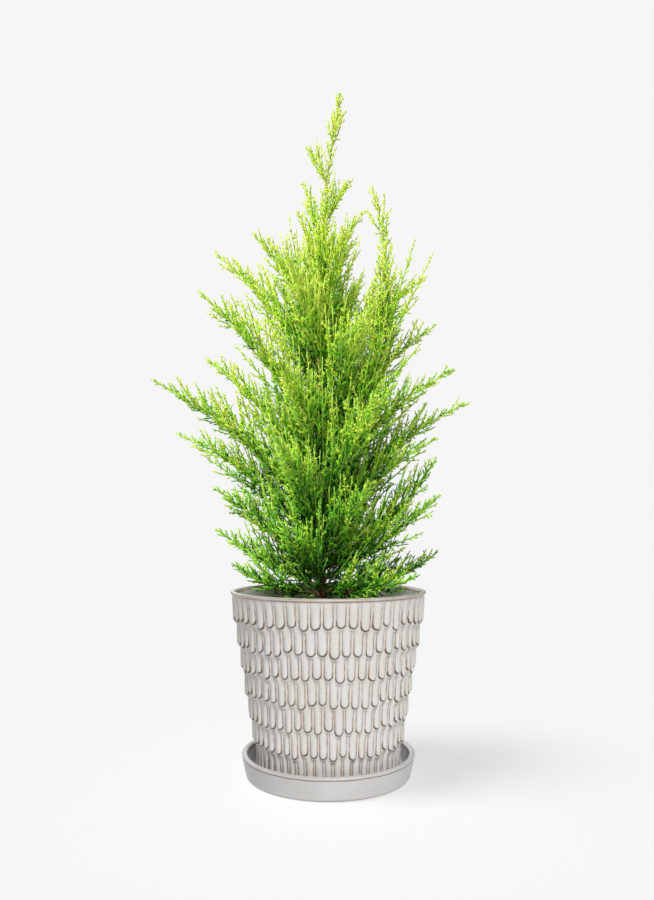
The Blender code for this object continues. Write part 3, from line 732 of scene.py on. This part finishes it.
def build_soil():
    edge = inner_radius(soil_top() - SOIL_MOUND) - 2 * GAP
    reach = np.linspace(0.0012, edge - 0.0004, 70)
    grid = turned_points(reach, 0 * reach, SOIL_COLUMNS)
    mound = SOIL_MOUND * smooth_step((reach - 0.012) / (edge - 0.012))
    settle = smooth_step((reach - 0.006) / 0.008) * smooth_step((edge - reach) / 0.004)
    rough = lumps(grid[..., 0], grid[..., 1]) * settle[:, None]
    grid[..., 2] = soil_top() - 0.0003 - mound[:, None] + rough
    floor = SAUCER_FLOOR + POT_FLOOR + 2 * GAP
    low = inner_radius(floor) - 2 * GAP
    skirt = turned_points((edge, low), (soil_top() - SOIL_MOUND - 0.001, floor), SOIL_COLUMNS)
    grid = np.concatenate([grid, skirt])
    poles = [(0, 0, soil_top() - 0.0003), (0, 0, floor)]
    faces = [ring_faces(len(grid), SOIL_COLUMNS), closing_fans(len(grid), SOIL_COLUMNS, grid.size // 3)]
    points = np.vstack([grid.reshape(-1, 3), poles])
    return mesh_object("crumbly_soil", points, faces, soil_finish())


soil = build_soil()
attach(soil, "root")
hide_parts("soil")

# %% [markdown]
# The crown grows by a rule, from a handful of numbers. Nine tiers of plumes leave the trunk, one
# to each side, one to the front and one to the back, and six short shoots and a thin tip make
# the leader. The same numbers placed the solid stems of the frame, so what grows here sits on
# them exactly. Heights are counted from the pot's rim.

# %% Sizes of the plant
TRUNK_BASE_RADIUS = 0.0034
TRUNK_TIP_RADIUS = 0.0006
FLARE_RADIUS = 0.0042
FLARE_HEIGHT = 0.007
TRUNK_TIP_HEIGHT = 0.418
TRUNK_SWAY = (
    (-0.0070, 0.0020, -SOIL_DROP + GAP),
    (-0.0040, -0.0010, 0.107),
    (-0.0060, 0.0010, 0.251),
    (-0.0022, 0.0000, 0.370),
    (0.0030, 0.0000, TRUNK_TIP_HEIGHT),
)
STEM_BASE_RADIUS = 0.0016
STEM_TIP_RADIUS = 0.0006
STEM_FADE = 0.8
LEADER_GIRTH = 0.55
Tier = namedtuple("Tier", "name start arch bough left right")
TIERS = (
    Tier("skirt", -0.004, -0.18, 0.0, (0.088, 0.024), (0.100, 0.034)),
    Tier("low", 0.002, -0.06, 0.32, (0.103, 0.055), (0.102, 0.086)),
    Tier("hip", 0.012, 0.04, 0.30, (0.106, 0.093), (0.101, 0.121)),
    Tier("waist", 0.028, 0.17, 0.0, (0.142, 0.143), (0.102, 0.139)),
    Tier("arm", 0.052, 0.14, 0.0, (0.165, 0.193), (0.131, 0.172)),
    Tier("shoulder", 0.092, 0.13, 0.0, (0.115, 0.215), (0.118, 0.203)),
    Tier("neck", 0.132, 0.10, 0.0, (0.123, 0.278), (0.102, 0.246)),
    Tier("crest", 0.180, 0.12, 0.0, (0.108, 0.316), (0.091, 0.292)),
    Tier("crown", 0.225, 0.14, 0.0, (0.073, 0.336), (0.058, 0.345)),
)
Limb = namedtuple("Limb", "start arch bough direction reach height")
LIMBS = {
    "shoulder_left": Limb(0.078, 0.14, 0.34, 177, 0.115, 0.214),
    "hip_right": Limb(0.017, -0.14, 0.45, 0, 0.100, 0.121),
    "crown_right": Limb(0.105, -0.26, 0.30, -27, 0.041, 0.382),
    "skirt_front": Limb(-0.002, -0.10, 0.0, -40, 0.083, 0.013),
}
SIDE_SWING = math.radians(14)
FRONT_SWING = math.radians(28)
FRONT_SHARE = 0.78
FRONT_DROP = 0.012
LEADER_SHOOTS = (
    ("leader_low_right", 0.296, -8, 0.036, 0.358),
    ("leader_low_left", 0.298, 172, 0.031, 0.357),
    ("leader_low_front", 0.288, 262, 0.030, 0.352),
    ("leader_low_back", 0.312, 140, 0.032, 0.386),
    ("leader_high_right", 0.345, 20, 0.024, 0.388),
    ("leader_high_left", 0.384, 185, 0.021, 0.421),
)
LEADER_TIP = (0.0116, 0.0, 0.476)
PLUME_WIDTH = 0.070
LEADER_WIDTH = 0.026
LEADER_TIP_WIDTH = 0.016
LEADER_ARCH = 0.06
VIEW_DISTANCE = -CAMERA_PLACE[1]
VIEW_HEIGHT = CAMERA_PLACE[2]


# %% Trunk line
def smooth_path(knots, where):
    """Points on the Catmull-Rom curve through the knots, at parameters from 0 to len(knots) - 1."""
    knots = np.asarray(knots, float)
    ends = 2 * knots[[0, -1]] - knots[[1, -2]]
    knots = np.vstack([ends[:1], knots, ends[1:]])
    piece = np.minimum(where.astype(int), len(knots) - 4)
    t = (where - piece)[:, None]
    a, b, c, d = (knots[piece + step] for step in range(4))
    bend = (2 * a - 5 * b + 4 * c - d) * t**2 + (3 * b - a - 3 * c + d) * t**3
    return b + ((c - a) * t + bend) / 2


def trunk_line(count=60):
    knots = np.array(TRUNK_SWAY) + UP * RIM_HEIGHT
    return smooth_path(knots, np.linspace(0, len(knots) - 1, count))


def trunk_radius(height):
    """A taper from the soil to the tip, with the root flare added near the soil."""
    foot = soil_top() + GAP
    rise = np.clip((height - foot) / (RIM_HEIGHT + TRUNK_TIP_HEIGHT - foot), 0, 1)
    taper = TRUNK_TIP_RADIUS + (TRUNK_BASE_RADIUS - TRUNK_TIP_RADIUS) * (1 - rise) ** 1.3
    return taper + FLARE_RADIUS * np.exp(-(height - foot) / FLARE_HEIGHT)


def trunk_point(height):
    line = trunk_line()
    return np.array([np.interp(height, line[:, 2], line[:, axis]) for axis in range(3)])


# %% Plumes
Plume = namedtuple("Plume", "name start tip arch bough width girth")


def out_to(direction, reach, height):
    return np.array((reach * math.cos(direction), reach * math.sin(direction), height))


def as_seen(tip):
    """Tips are measured in the plane of the trunk. One that leans towards the viewer is drawn in
    towards the view point, and one that leans away is let out, so that it is seen at its place."""
    nearness = (VIEW_DISTANCE + tip[1]) / VIEW_DISTANCE
    height = VIEW_HEIGHT + (tip[2] - VIEW_HEIGHT) * nearness
    return np.array((tip[0] * nearness, tip[1], height))


def plumes():
    """Every plume of the crown, tier by tier, then the shoots of the leader."""
    chance = np.random.default_rng(SEED)
    made = {}

    def add(name, start, tip, arch, bough, width=PLUME_WIDTH, girth=1.0):
        made[name] = Plume(name, trunk_point(start), tip, arch, bough, width, girth)

    for index, tier in enumerate(TIERS):
        swing = -1 if index % 2 else 1
        left_reach, left_height = tier.left
        right_reach, right_height = tier.right
        reach = FRONT_SHARE * (left_reach + right_reach) / 2
        height = (left_height + right_height) / 2
        sides = (
            ("left", math.pi + swing * SIDE_SWING, left_reach / math.cos(SIDE_SWING), left_height),
            ("right", swing * SIDE_SWING, right_reach / math.cos(SIDE_SWING), right_height),
            ("front", -math.pi / 2 + swing * FRONT_SWING, reach, height - FRONT_DROP),
            ("back", math.pi / 2 + swing * FRONT_SWING, reach, height + FRONT_DROP),
        )
        for step, (side, direction, out, top) in enumerate(sides):
            start = RIM_HEIGHT + tier.start + 0.004 * step + 0.002 * chance.random()
            tip = out_to(direction, out, RIM_HEIGHT + top)
            tip = as_seen(tip) if side in ("left", "right") else tip
            add(f"{tier.name}_{side}", start, tip, tier.arch, tier.bough)
    for name, limb in LIMBS.items():
        direction = math.radians(limb.direction)
        tip = out_to(direction, limb.reach / abs(math.cos(direction)), RIM_HEIGHT + limb.height)
        add(name, RIM_HEIGHT + limb.start, as_seen(tip), limb.arch, limb.bough)
    for name, start, direction, reach, height in LEADER_SHOOTS:
        tip = as_seen(out_to(math.radians(direction), reach, RIM_HEIGHT + height))
        add(name, RIM_HEIGHT + start, tip, LEADER_ARCH, 0.0, LEADER_WIDTH, LEADER_GIRTH)
    line = trunk_line()
    tip = np.array(LEADER_TIP) + UP * RIM_HEIGHT
    start = line[-1] + unit(line[-1] - line[-2]) * GAP
    leader = Plume("leader_tip", start, tip, 0.0, 0.0, LEADER_TIP_WIDTH, LEADER_GIRTH)
    return [*made.values(), leader]


def plume_bend(plume):
    """The middle handle of a plume's line, pushed up and inwards by its arch."""
    chord = plume.tip - plume.start
    outward = unit(np.array((chord[0], chord[1], 0.0)))
    inward_and_up = unit(UP * (chord @ outward) - outward * chord[2])
    return (plume.start + plume.tip) / 2 + inward_and_up * plume.arch * np.linalg.norm(chord)


def plume_line(plume, share):
    """Points on the quadratic Bezier curve from the trunk to the plume's tip."""
    t = np.atleast_1d(share)[:, None]
    bend = plume_bend(plume)
    return plume.start * (1 - t) ** 2 + bend * 2 * t * (1 - t) + plume.tip * t**2


def stem_radius(plume, share):
    taper = (STEM_BASE_RADIUS - STEM_TIP_RADIUS) * (1 - share) ** STEM_FADE
    return plume.girth * (STEM_TIP_RADIUS + taper)


CROWN = plumes()
STEM_LINES = np.array([plume_line(plume, np.linspace(0, 1, 25)) for plume in CROWN])
print(f"{len(CROWN)} plumes, top at {max(plume.tip[2] for plume in CROWN):.3f} m")

# %% [markdown]
# Bark is carried along each limb as rings of points. The radius is the limb's own taper times
# one plus a small relief, long ridges that twist slowly and split, so light catches on them.
# Every limb is a closed tube of its own inside one mesh.


# %% Tubes along many lines at once
def frames_along(lines):
    """Unit vectors along each line and two across it. lines is (tube, point, 3)."""
    along = unit(np.gradient(lines, axis=1))
    mean = np.abs(along.mean(axis=1))
    guide = np.eye(3)[np.argmin(mean, axis=1)][:, None]
    across = unit(guide - along * (along * guide).sum(-1, keepdims=True))
    return along, across, np.cross(along, across)


def tubes(lines, radius, sides, relief=None):
    """Points and faces of closed tubes along lines (tube, point, 3), with a radius at each
    point, times one plus the relief at (tube, point, side)."""
    count, steps = lines.shape[:2]
    _, across, other = frames_along(lines)
    angle = np.arange(sides) * 2 * math.pi / sides
    radius = np.broadcast_to(radius, (count, steps))[..., None]
    if relief is not None:
        radius = radius * (1 + relief)
    ring = across[:, :, None] * np.cos(angle)[:, None] + other[:, :, None] * np.sin(angle)[:, None]
    points = lines[:, :, None] + radius[..., None] * ring
    offset = (np.arange(count) * steps * sides)[:, None, None]
    quads = (ring_faces(steps, sides)[None] + offset).reshape(-1, 4)
    cap = np.arange(sides)
    low = (cap[None, ::-1] + offset[:, 0]).reshape(-1, sides)
    high = (cap[None] + (steps - 1) * sides + offset[:, 0]).reshape(-1, sides)
    return points.reshape(-1, 3), quads, np.concatenate([low, high])


def bark_relief(lines, sides, depth):
    """Ridges: waves round the limb whose phase drifts with height, plus finer and knottier ones."""
    height = lines[..., 2][..., None]
    angle = np.arange(sides) * 2 * math.pi / sides
    ridges = np.sin(5 * angle + 90 * height + 1.5 * np.sin(140 * height))
    fine = 0.5 * np.sin(9 * angle - 210 * height + 2.0 * np.sin(260 * height + angle))
    knots = 0.7 * np.sin(330 * height + 2 * angle) * np.sin(75 * height)
    return depth * (ridges + fine + knots)


# %% Trunk, boughs and woody stems
WOODY_SHARE = 0.34
TRUNK_SIDES = 28
STEM_SIDES = 10


def join_parts(parts):
    """One list of points and faces from several (points, faces, faces, ...) parts."""
    points, groups, offset = [], [], 0
    for part in parts:
        points.append(part[0])
        groups += [group + offset for group in part[1:]]
        offset += len(part[0])
    return np.concatenate(points), groups


def bark_finish():
    finish = Finish("bark", 0.82)
    parts = finish.add("ShaderNodeSeparateXYZ", {"Vector": finish.place})
    squeezed = finish.add("ShaderNodeMapping", {"Vector": finish.place, "Scale": (1, 1, 0.25)})
    strands = finish.noise(900.0, 4.0, squeezed.outputs[0])
    brown, red, grey = (0.115, 0.052, 0.030), (0.27, 0.115, 0.060), (0.20, 0.15, 0.12)
    colour = finish.mix(finish.ramp(strands, 0.35, 0.65), brown, red)
    colour = finish.mix(finish.ramp(finish.noise(160.0), 0.55, 0.75, 0.0, 0.7), colour, grey)
    young = finish.ramp(parts.outputs["Z"], RIM_HEIGHT + 0.16, RIM_HEIGHT + 0.32)
    colour = finish.mix(young, colour, (0.36, 0.36, 0.10))
    finish.set("Base Color", colour)
    finish.set("Roughness", finish.ramp(strands, 0.3, 0.7, 0.72, 0.92))
    finish.bump(strands, 0.0003)
    return finish.material


def build_bark():
    """The trunk, cut level at the soil, and the woody part of every plume's stem."""
    line = trunk_line(260)[None]
    radius = trunk_radius(line[..., 2])
    trunk = tubes(line, radius, TRUNK_SIDES, bark_relief(line, TRUNK_SIDES, 0.05))
    trunk[0][:TRUNK_SIDES, 2] = line[0, 0, 2]
    share = np.linspace(0.0, WOODY_SHARE, 44)
    lines = np.array([plume_line(plume, share) for plume in CROWN[:-1]])
    radius = np.array([stem_radius(plume, share) for plume in CROWN[:-1]])
    stems = tubes(lines, radius, STEM_SIDES, bark_relief(lines, STEM_SIDES, 0.06))
    points, faces = join_parts([trunk, stems])
    return mesh_object("bark_of_trunk_and_boughs", points, faces, bark_finish())


bark = build_bark()
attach(bark, "root")
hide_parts("trunk", *[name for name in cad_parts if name.startswith("bough_")])

# %% [markdown]
# Foliage has three orders of twig. A plume's stem carries shoots in a spiral, each turned
# 137.5 degrees from the last, so none shades the one below. Each shoot carries branchlets in
# the same way, and everything carries needles. All of them are gently bent curves of the same
# kind, A + B s + C s^2, so one set of functions can treat stems, shoots and branchlets alike.
#
# A shoot keeps to its own plume's space: it ends where it would come nearer to another plume's
# stem than to its own, or touch the trunk, the soil or the rim. That keeps the plumes apart, as
# light does in the real plant.

# %% Twigs as curves
Twigs = namedtuple("Twigs", "start slope curve length plume fresh grow")


def twig_points(twigs, share):
    """Points A + B s + C s^2 for each twig, at shares (twig, point)."""
    s = share[..., None]
    return twigs.start[:, None] + twigs.slope[:, None] * s + twigs.curve[:, None] * s * s


def twig_heading(twigs, share):
    return unit(twigs.slope[:, None] + 2 * twigs.curve[:, None] * share[..., None])


def sideways(along, turn):
    """The direction square to along on the side given by the turn about it."""
    across = unit(np.cross(along, UP + 0.01))
    other = np.cross(along, across)
    return across * np.cos(turn)[:, None] + other * np.sin(turn)[:, None]


def side_heading(along, turn, lean):
    """A direction that leans out from along, on the side given by the turn about it."""
    return along * np.cos(lean)[:, None] + sideways(along, turn) * np.sin(lean)[:, None]


def line_distance(points, line):
    """Distance of each point from a line of straight pieces."""
    start, step = line[:-1], np.diff(line, axis=0)
    offset = points[:, None] - start[None]
    share = np.clip((offset * step).sum(-1) / (step * step).sum(-1), 0, 1)
    return np.linalg.norm(offset - share[..., None] * step, axis=-1).min(axis=1)


def clears_pot(points, margin):
    """True above the rim, and inside the rim above the soil."""
    out = np.hypot(points[..., 0], points[..., 1])
    low = points[..., 2] < RIM_HEIGHT + margin
    fits = (out < RIM_RADIUS - WALL - margin) & (points[..., 2] > soil_top() + margin)
    return ~low | fits


def keep_home(twigs, share):
    """The share of each twig that stays in its plume's space, from tests at the given shares."""
    places = twig_points(twigs, np.broadcast_to(share, (len(twigs.length), len(share))))
    flat = places.reshape(-1, 3)
    distance = np.stack([line_distance(flat, line) for line in STEM_LINES], axis=1)
    owner = np.repeat(twigs.plume, len(share))
    own = distance[np.arange(len(flat)), owner]
    distance[np.arange(len(flat)), owner] = 1.0
    home = own < distance.min(axis=1) + HOME_OVERLAP
    trunk_clear = line_distance(flat, trunk_line()) > trunk_radius(flat[:, 2]) + 0.001
    fine = (home & trunk_clear & clears_pot(flat, 0.0015)).reshape(len(twigs.length), -1)
    steps = np.cumprod(fine, axis=1).sum(axis=1)
    return np.concatenate([[0.0], share])[steps]


def cut_to(twigs, share):
    """The twigs shortened to a share of their length, in the same place and direction."""
    share = share[:, None]
    slope, curve = twigs.slope * share, twigs.curve * share**2
    return twigs._replace(slope=slope, curve=curve, length=twigs.length * share[:, 0])


def pick(twigs, chosen):
    return Twigs(*[field[chosen] for field in twigs])


def together(*groups):
    return Twigs(*[np.concatenate(fields) for fields in zip(*groups)])


# %% Stems, shoots and branchlets
SHOOT_SPACING = 0.0029
LEADING_SHARE = 0.28
LEADING_LEAN = 0.85
LEADING_LIFT = 0.16
SIDE_SHARE = 0.92
WIDTH_FADE = 1.3
UNDER_SHORTER = 0.45
SHOOT_ANGLE = math.radians(27)
SHOOT_LIFT = 0.90
SHOOT_TURN = math.radians(137.5)
END_LENGTH = 0.009
SHORTEST_SHOOT = 0.004
SideRule = namedtuple("SideRule", "spacing angle share least most lift spread grow")
SIDE_ROPES = SideRule(0.0125, 30.0, 0.38, 0.004, 0.028, 0.12, 0.10, 0.30)
FINGERS = SideRule(0.0036, 50.0, 0.17, 0.0018, 0.0085, 0.08, 0.02, 0.08)
LONG_SHOOT = 0.016
HOME_OVERLAP = 0.020
LEADER_FOOT = -0.008
BASE_SPREAD = 34.0
BASE_HEIGHT = 0.022
LEADER_SPACING = 0.0028
LEADER_SHOOT = 0.036
growth = np.random.default_rng(SEED + 1)


def share_up(height):
    """0 at the rim and 1 at the leader's tip."""
    return np.clip((height - RIM_HEIGHT) / LEADER_TIP[2], 0, 1)


def youth_and_shade_at(height, rise):
    """Young growth and painted shade in one: lighter up the plant and out along a plume."""
    up = share_up(height)
    return -0.12 + 0.64 * up - 0.12 * up**2 + 0.20 * rise


def stems():
    """The plumes' own stems as twigs, written as A + B s + C s^2."""
    start = np.array([plume.start for plume in CROWN])
    bend = np.array([plume_bend(plume) for plume in CROWN])
    tip = np.array([plume.tip for plume in CROWN])
    length = np.linalg.norm(np.diff(STEM_LINES, axis=1), axis=-1).sum(axis=1)
    number = np.arange(len(CROWN))
    fresh = youth_and_shade_at(start[:, 2], 0.0)
    grow = youth_and_shade_at(tip[:, 2], 1.0) + 0.15 - fresh
    return Twigs(start, 2 * (bend - start), start - 2 * bend + tip, length, number, fresh, grow)


def spiral_counts(counts):
    """For a total of sum(counts) side twigs: which parent each has, and its place in the row."""
    parent = np.repeat(np.arange(len(counts)), counts)
    first = np.concatenate([[0], np.cumsum(counts)[:-1]])
    return parent, np.arange(len(parent)) - first[parent]


def grow_shoots(main):
    """Shoots in a spiral up every stem, longest near its foot and shorter on its underside."""
    counts = np.maximum(3, np.round(main.length / SHOOT_SPACING)).astype(int)
    parent, step = spiral_counts(counts)
    rise = (step + 0.55) / (counts[parent] + 0.3)
    turn = growth.uniform(0, 2 * math.pi, len(counts))[parent] + step * SHOOT_TURN
    owners = pick(main, parent)
    root = twig_points(owners, rise[:, None])[:, 0]
    along = twig_heading(owners, rise[:, None])[:, 0]
    leads = growth.random(len(rise)) < LEADING_SHARE
    lean = SHOOT_ANGLE * growth.uniform(0.8, 1.2, len(rise)) * np.where(leads, LEADING_LEAN, 1.0)
    heading = side_heading(along, turn, lean)
    width = np.array([plume.width for plume in CROWN])[parent]
    under = 1 - UNDER_SHORTER * np.clip(-sideways(along, turn)[:, 2], 0, 1)
    room = owners.length * (1 - rise) * 0.9
    leading = np.minimum(room * growth.uniform(0.35, 0.66, len(rise)), 1.3 * width)
    side = SIDE_SHARE * width * under * (1 - rise) ** WIDTH_FADE
    side = np.minimum(side * growth.uniform(0.8, 1.25, len(rise)), room)
    length = np.minimum(np.where(leads, leading, side) + 0.004, room + 0.002)
    fresh = youth_and_shade_at(root[:, 2], rise) + growth.normal(0, 0.12, len(rise))
    lift = UP * (np.where(leads, LEADING_LIFT, SHOOT_LIFT * (1 - rise)) * length)[:, None]
    grow = 0.58 - 0.26 * share_up(root[:, 2])
    shoots = Twigs(root, heading * length[:, None], lift, length, parent, fresh, grow)
    kept = keep_home(shoots, np.linspace(0.2, 1, 9))
    shoots = cut_to(shoots, kept)
    return pick(shoots, shoots.length > SHORTEST_SHOOT)


def trunk_shoots():
    """Short shoots in a spiral on the trunk itself, between the feet of the plumes."""
    rise = np.arange(LEADER_FOOT, TRUNK_TIP_HEIGHT, LEADER_SPACING)
    line = trunk_line(400)
    height = RIM_HEIGHT + rise
    root = np.stack([np.interp(height, line[:, 2], line[:, axis]) for axis in range(3)], axis=1)
    along = np.tile(unit(line[-1] - line[-100]), (len(rise), 1))
    turn = np.arange(len(rise)) * SHOOT_TURN
    base = np.exp(-(rise - LEADER_FOOT) / BASE_HEIGHT)
    lean = SHOOT_ANGLE * growth.uniform(1.0, 1.4, len(rise)) + math.radians(BASE_SPREAD) * base
    heading = side_heading(along, turn, lean)
    left = (TRUNK_TIP_HEIGHT - rise) / (TRUNK_TIP_HEIGHT - LEADER_FOOT)
    length = LEADER_SHOOT * (0.28 + 0.72 * left) * growth.uniform(0.7, 1.3, len(rise))
    length *= 1 + base
    fresh = youth_and_shade_at(height, 0.7 - 0.5 * left) + growth.normal(0, 0.04, len(rise))
    owner = np.full(len(rise), len(CROWN) - 1)
    lift = UP * (0.3 * length)[:, None]
    made = Twigs(root, heading * length[:, None], lift, length, owner, fresh, 0.3 + 0 * length)
    share = np.linspace(0.2, 1, 9)
    clear = clears_pot(twig_points(made, np.broadcast_to(share, (len(rise), 9))), 0.0015)
    made = cut_to(made, np.concatenate([[0.0], share])[np.cumprod(clear, axis=1).sum(axis=1)])
    return pick(made, made.length > SHORTEST_SHOOT)


def grow_side(parents, rule):
    """Side twigs in a spiral up every parent, shorter towards its tip."""
    counts = np.maximum(1, np.round((parents.length - 0.002) / rule.spacing)).astype(int)
    parent, step = spiral_counts(counts)
    rise = (step + 0.7 + growth.uniform(-0.2, 0.2, len(step))) / (counts[parent] + 0.6)
    owners = pick(parents, parent)
    root = twig_points(owners, rise[:, None])[:, 0]
    along = twig_heading(owners, rise[:, None])[:, 0]
    turn = growth.uniform(0, 2 * math.pi, len(counts))[parent] + step * SHOOT_TURN
    lean = math.radians(rule.angle) * growth.uniform(0.75, 1.2, len(step))
    heading = side_heading(along, turn, lean)
    length = rule.share * owners.length * (1 - rise) + rule.least
    length = np.minimum(length, rule.most) * growth.uniform(0.65, 1.25, len(step))
    fresh = owners.fresh + owners.grow * rise + growth.normal(0, rule.spread, len(step))
    lift = UP * (rule.lift * length)[:, None]
    grow = np.full(len(step), rule.grow)
    made = Twigs(root, heading * length[:, None], lift, length, owners.plume, fresh, grow)
    tip = twig_points(made, np.ones((len(length), 1)))[:, 0]
    return pick(made, clears_pot(tip, 0.001))


main_stems = stems()
shoots = together(grow_shoots(main_stems), trunk_shoots())
side_ropes = grow_side(pick(shoots, shoots.length > LONG_SHOOT), SIDE_ROPES)
ropes = together(shoots, side_ropes)
fingers = grow_side(ropes, FINGERS)
for title, group in (("shoots", shoots), ("side ropes", side_ropes), ("fingers", fingers)):
    print(f"{len(group.length)} {title}, {group.length.sum():.1f} m in all")

# %% [markdown]
# A needle is an open spike of three triangles: three corners at its foot and one at its point.
# Needles stand in pairs, each pair turned a quarter from the last, and they close up towards
# the tip of a twig. Their greens are plain colours, dealt out by how young the twig is at that
# place, with painted shade added: deep green inside and low down, where the crown shades
# itself, lime yellow at the tips.

# %% Needles
NEEDLE_LENGTH = 0.0024
NEEDLE_WIDTH = 0.0011
# The darkest greens are partly painted shade for the inside of the crown.
GREENS = (
    ("dark_green", (0.006, 0.066, 0.005)),
    ("deep_green", (0.024, 0.225, 0.012)),
    ("mid_green", (0.125, 0.490, 0.020)),
    ("bright_green", (0.345, 0.735, 0.025)),
    ("yellow_green", (0.610, 0.880, 0.045)),
    ("lime_tips", (0.800, 0.940, 0.120)),
)
GREEN_STEPS = (0.15, 0.27, 0.38, 0.50, 0.64)
MOST_NEEDLES = 64000


def needles_on(twigs, bare, spacing, size):
    """Pairs of needles along twigs: (spikes, 4, 3) points, their plume and their freshness."""
    counts = np.floor(twigs.length * (1 - bare) / spacing).astype(int)
    parent, step = spiral_counts(counts)
    share = np.minimum(bare + (step + 0.6) * spacing / twigs.length[parent], 1.0)
    owners = pick(twigs, parent)
    foot = twig_points(owners, share[:, None])[:, 0]
    along = twig_heading(owners, share[:, None])[:, 0]
    chance = np.random.default_rng([SEED, len(parent)])
    turn = chance.uniform(0, 2 * math.pi, len(counts))[parent] + step * math.pi / 2
    points = []
    for opposite in (0.0, math.pi):
        wobble = chance.normal(0, 0.25, len(turn))
        lean = np.radians(38 - 16 * share**4) * chance.uniform(0.8, 1.2, len(turn))
        heading = side_heading(along, turn + opposite + wobble, lean)
        flat = unit(np.cross(along, heading))
        ridge = np.cross(heading, flat)
        length = size * NEEDLE_LENGTH * (1 - 0.15 * share**6) * chance.uniform(0.8, 1.2, len(turn))
        half = (size * NEEDLE_WIDTH / 2) * flat
        tip = foot + heading * length[:, None] + along * (0.10 * length)[:, None]
        back = foot + ridge * NEEDLE_WIDTH * 0.45
        points.append(np.stack([foot - half, foot + half, back, tip], axis=1))
    fresh = owners.fresh + owners.grow * share
    return np.concatenate(points), np.tile(owners.plume, 2), np.tile(fresh, 2)


def needle_finish(name, colour):
    finish = Finish(name, 0.5)
    finish.shader.inputs["Specular IOR Level"].default_value = 0.10
    paler = tuple(min(1.0, 1.18 * value + 0.01) for value in colour)
    deeper = tuple(0.82 * value for value in colour)
    patches = finish.ramp(finish.noise(75.0, 2.0), 0.32, 0.68)
    finish.set("Base Color", finish.mix(patches, deeper, paler))
    finish.set("Roughness", finish.ramp(finish.noise(300.0), 0.3, 0.7, 0.42, 0.58))
    return finish.material


groups = [
    needles_on(main_stems, 0.30, 0.0016, 1.0),
    needles_on(ropes, 0.06, 0.0020, 0.85),
    needles_on(fingers, 0.06, 0.0014, 0.80),
]
spikes = np.concatenate([group[0] for group in groups])
owner = np.concatenate([group[1] for group in groups])
fresh = np.concatenate([group[2] for group in groups])
print(f"{len(spikes)} needles, freshness {np.percentile(fresh, (5, 25, 50, 75, 95)).round(2)}")


GREEN_FINISHES = [needle_finish(name, colour) for name, colour in GREENS]
foliage = []


def foliage_nodes(numbers):
    return sorted({f"foliage_{CROWN[number].name}" for number in np.unique(numbers)})


def dress_foliage(piece, nodes):
    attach(piece, "root")
    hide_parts(*nodes)
    foliage.append(piece)


def build_needles(name, finish, chosen):
    """Needles of one green, in as many pieces as keep each under the limit."""
    pieces = math.ceil(len(chosen) / MOST_NEEDLES)
    for part, members in enumerate(np.array_split(chosen, pieces)):
        corner = np.array(((0, 1, 3), (1, 2, 3), (2, 0, 3)))
        faces = (corner[None] + 4 * np.arange(len(members))[:, None, None]).reshape(-1, 3)
        title = f"needles_{name}" if pieces == 1 else f"needles_{name}_{part + 1}"
        piece = mesh_object(title, spikes[members], [faces], finish, smooth=False, closed=False)
        dress_foliage(piece, foliage_nodes(owner[members]))


green_class = np.digitize(fresh, GREEN_STEPS)
for number, (name, _) in enumerate(GREENS):
    build_needles(name, GREEN_FINISHES[number], np.nonzero(green_class == number)[0])


# %% Green twigs under the needles
def tube_twigs(twigs, steps, foot, tip):
    share = np.linspace(0, 1, steps)
    lines = twig_points(twigs, np.broadcast_to(share, (len(twigs.length), steps)))
    radius = foot + (tip - foot) * share
    return tubes(lines, radius, 3)


def twig_finish():
    finish = Finish("green_twigs", 0.55)
    height = finish.add("ShaderNodeSeparateXYZ", {"Vector": finish.place}).outputs["Z"]
    rise = finish.ramp(height, RIM_HEIGHT, RIM_HEIGHT + 0.35)
    colour = finish.mix(rise, (0.26, 0.56, 0.05), (0.60, 0.80, 0.10))
    brown = finish.ramp(finish.noise(60.0), 0.62, 0.70, 0.0, 0.6)
    finish.set("Base Color", finish.mix(brown, colour, (0.26, 0.13, 0.05)))
    return finish.material


def green_stems():
    share = np.linspace(WOODY_SHARE - 0.02, 1.0, 30)
    lines = np.array([plume_line(plume, share) for plume in CROWN[:-1]])
    radius = np.array([stem_radius(plume, share) for plume in CROWN[:-1]])
    leader = plume_line(CROWN[-1], np.linspace(0, 1, 30))[None]
    thin = stem_radius(CROWN[-1], np.linspace(0, 1, 30))[None]
    return tubes(np.concatenate([lines, leader]), np.concatenate([radius, thin]) * 0.9, 6)


points, faces = join_parts([
    green_stems(),
    tube_twigs(shoots, 6, 0.00085, 0.00050),
    tube_twigs(side_ropes, 3, 0.00065, 0.00045),
])
twigs = mesh_object("green_twigs", points, faces, twig_finish())
dress_foliage(twigs, [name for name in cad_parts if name.startswith("foliage_")])

middle = fingers.fresh + fingers.grow / 2
finger_class = np.digitize(middle, GREEN_STEPS)
for number, (name, _) in enumerate(GREENS):
    chosen = pick(fingers, finger_class == number)
    points, *faces = tube_twigs(chosen, 2, 0.00070, 0.00045)
    piece = mesh_object(f"soft_twigs_{name}", points, faces, GREEN_FINISHES[number])
    dress_foliage(piece, foliage_nodes(chosen.plume))
keep_off(pot_light, floor, soil, bark, *foliage)
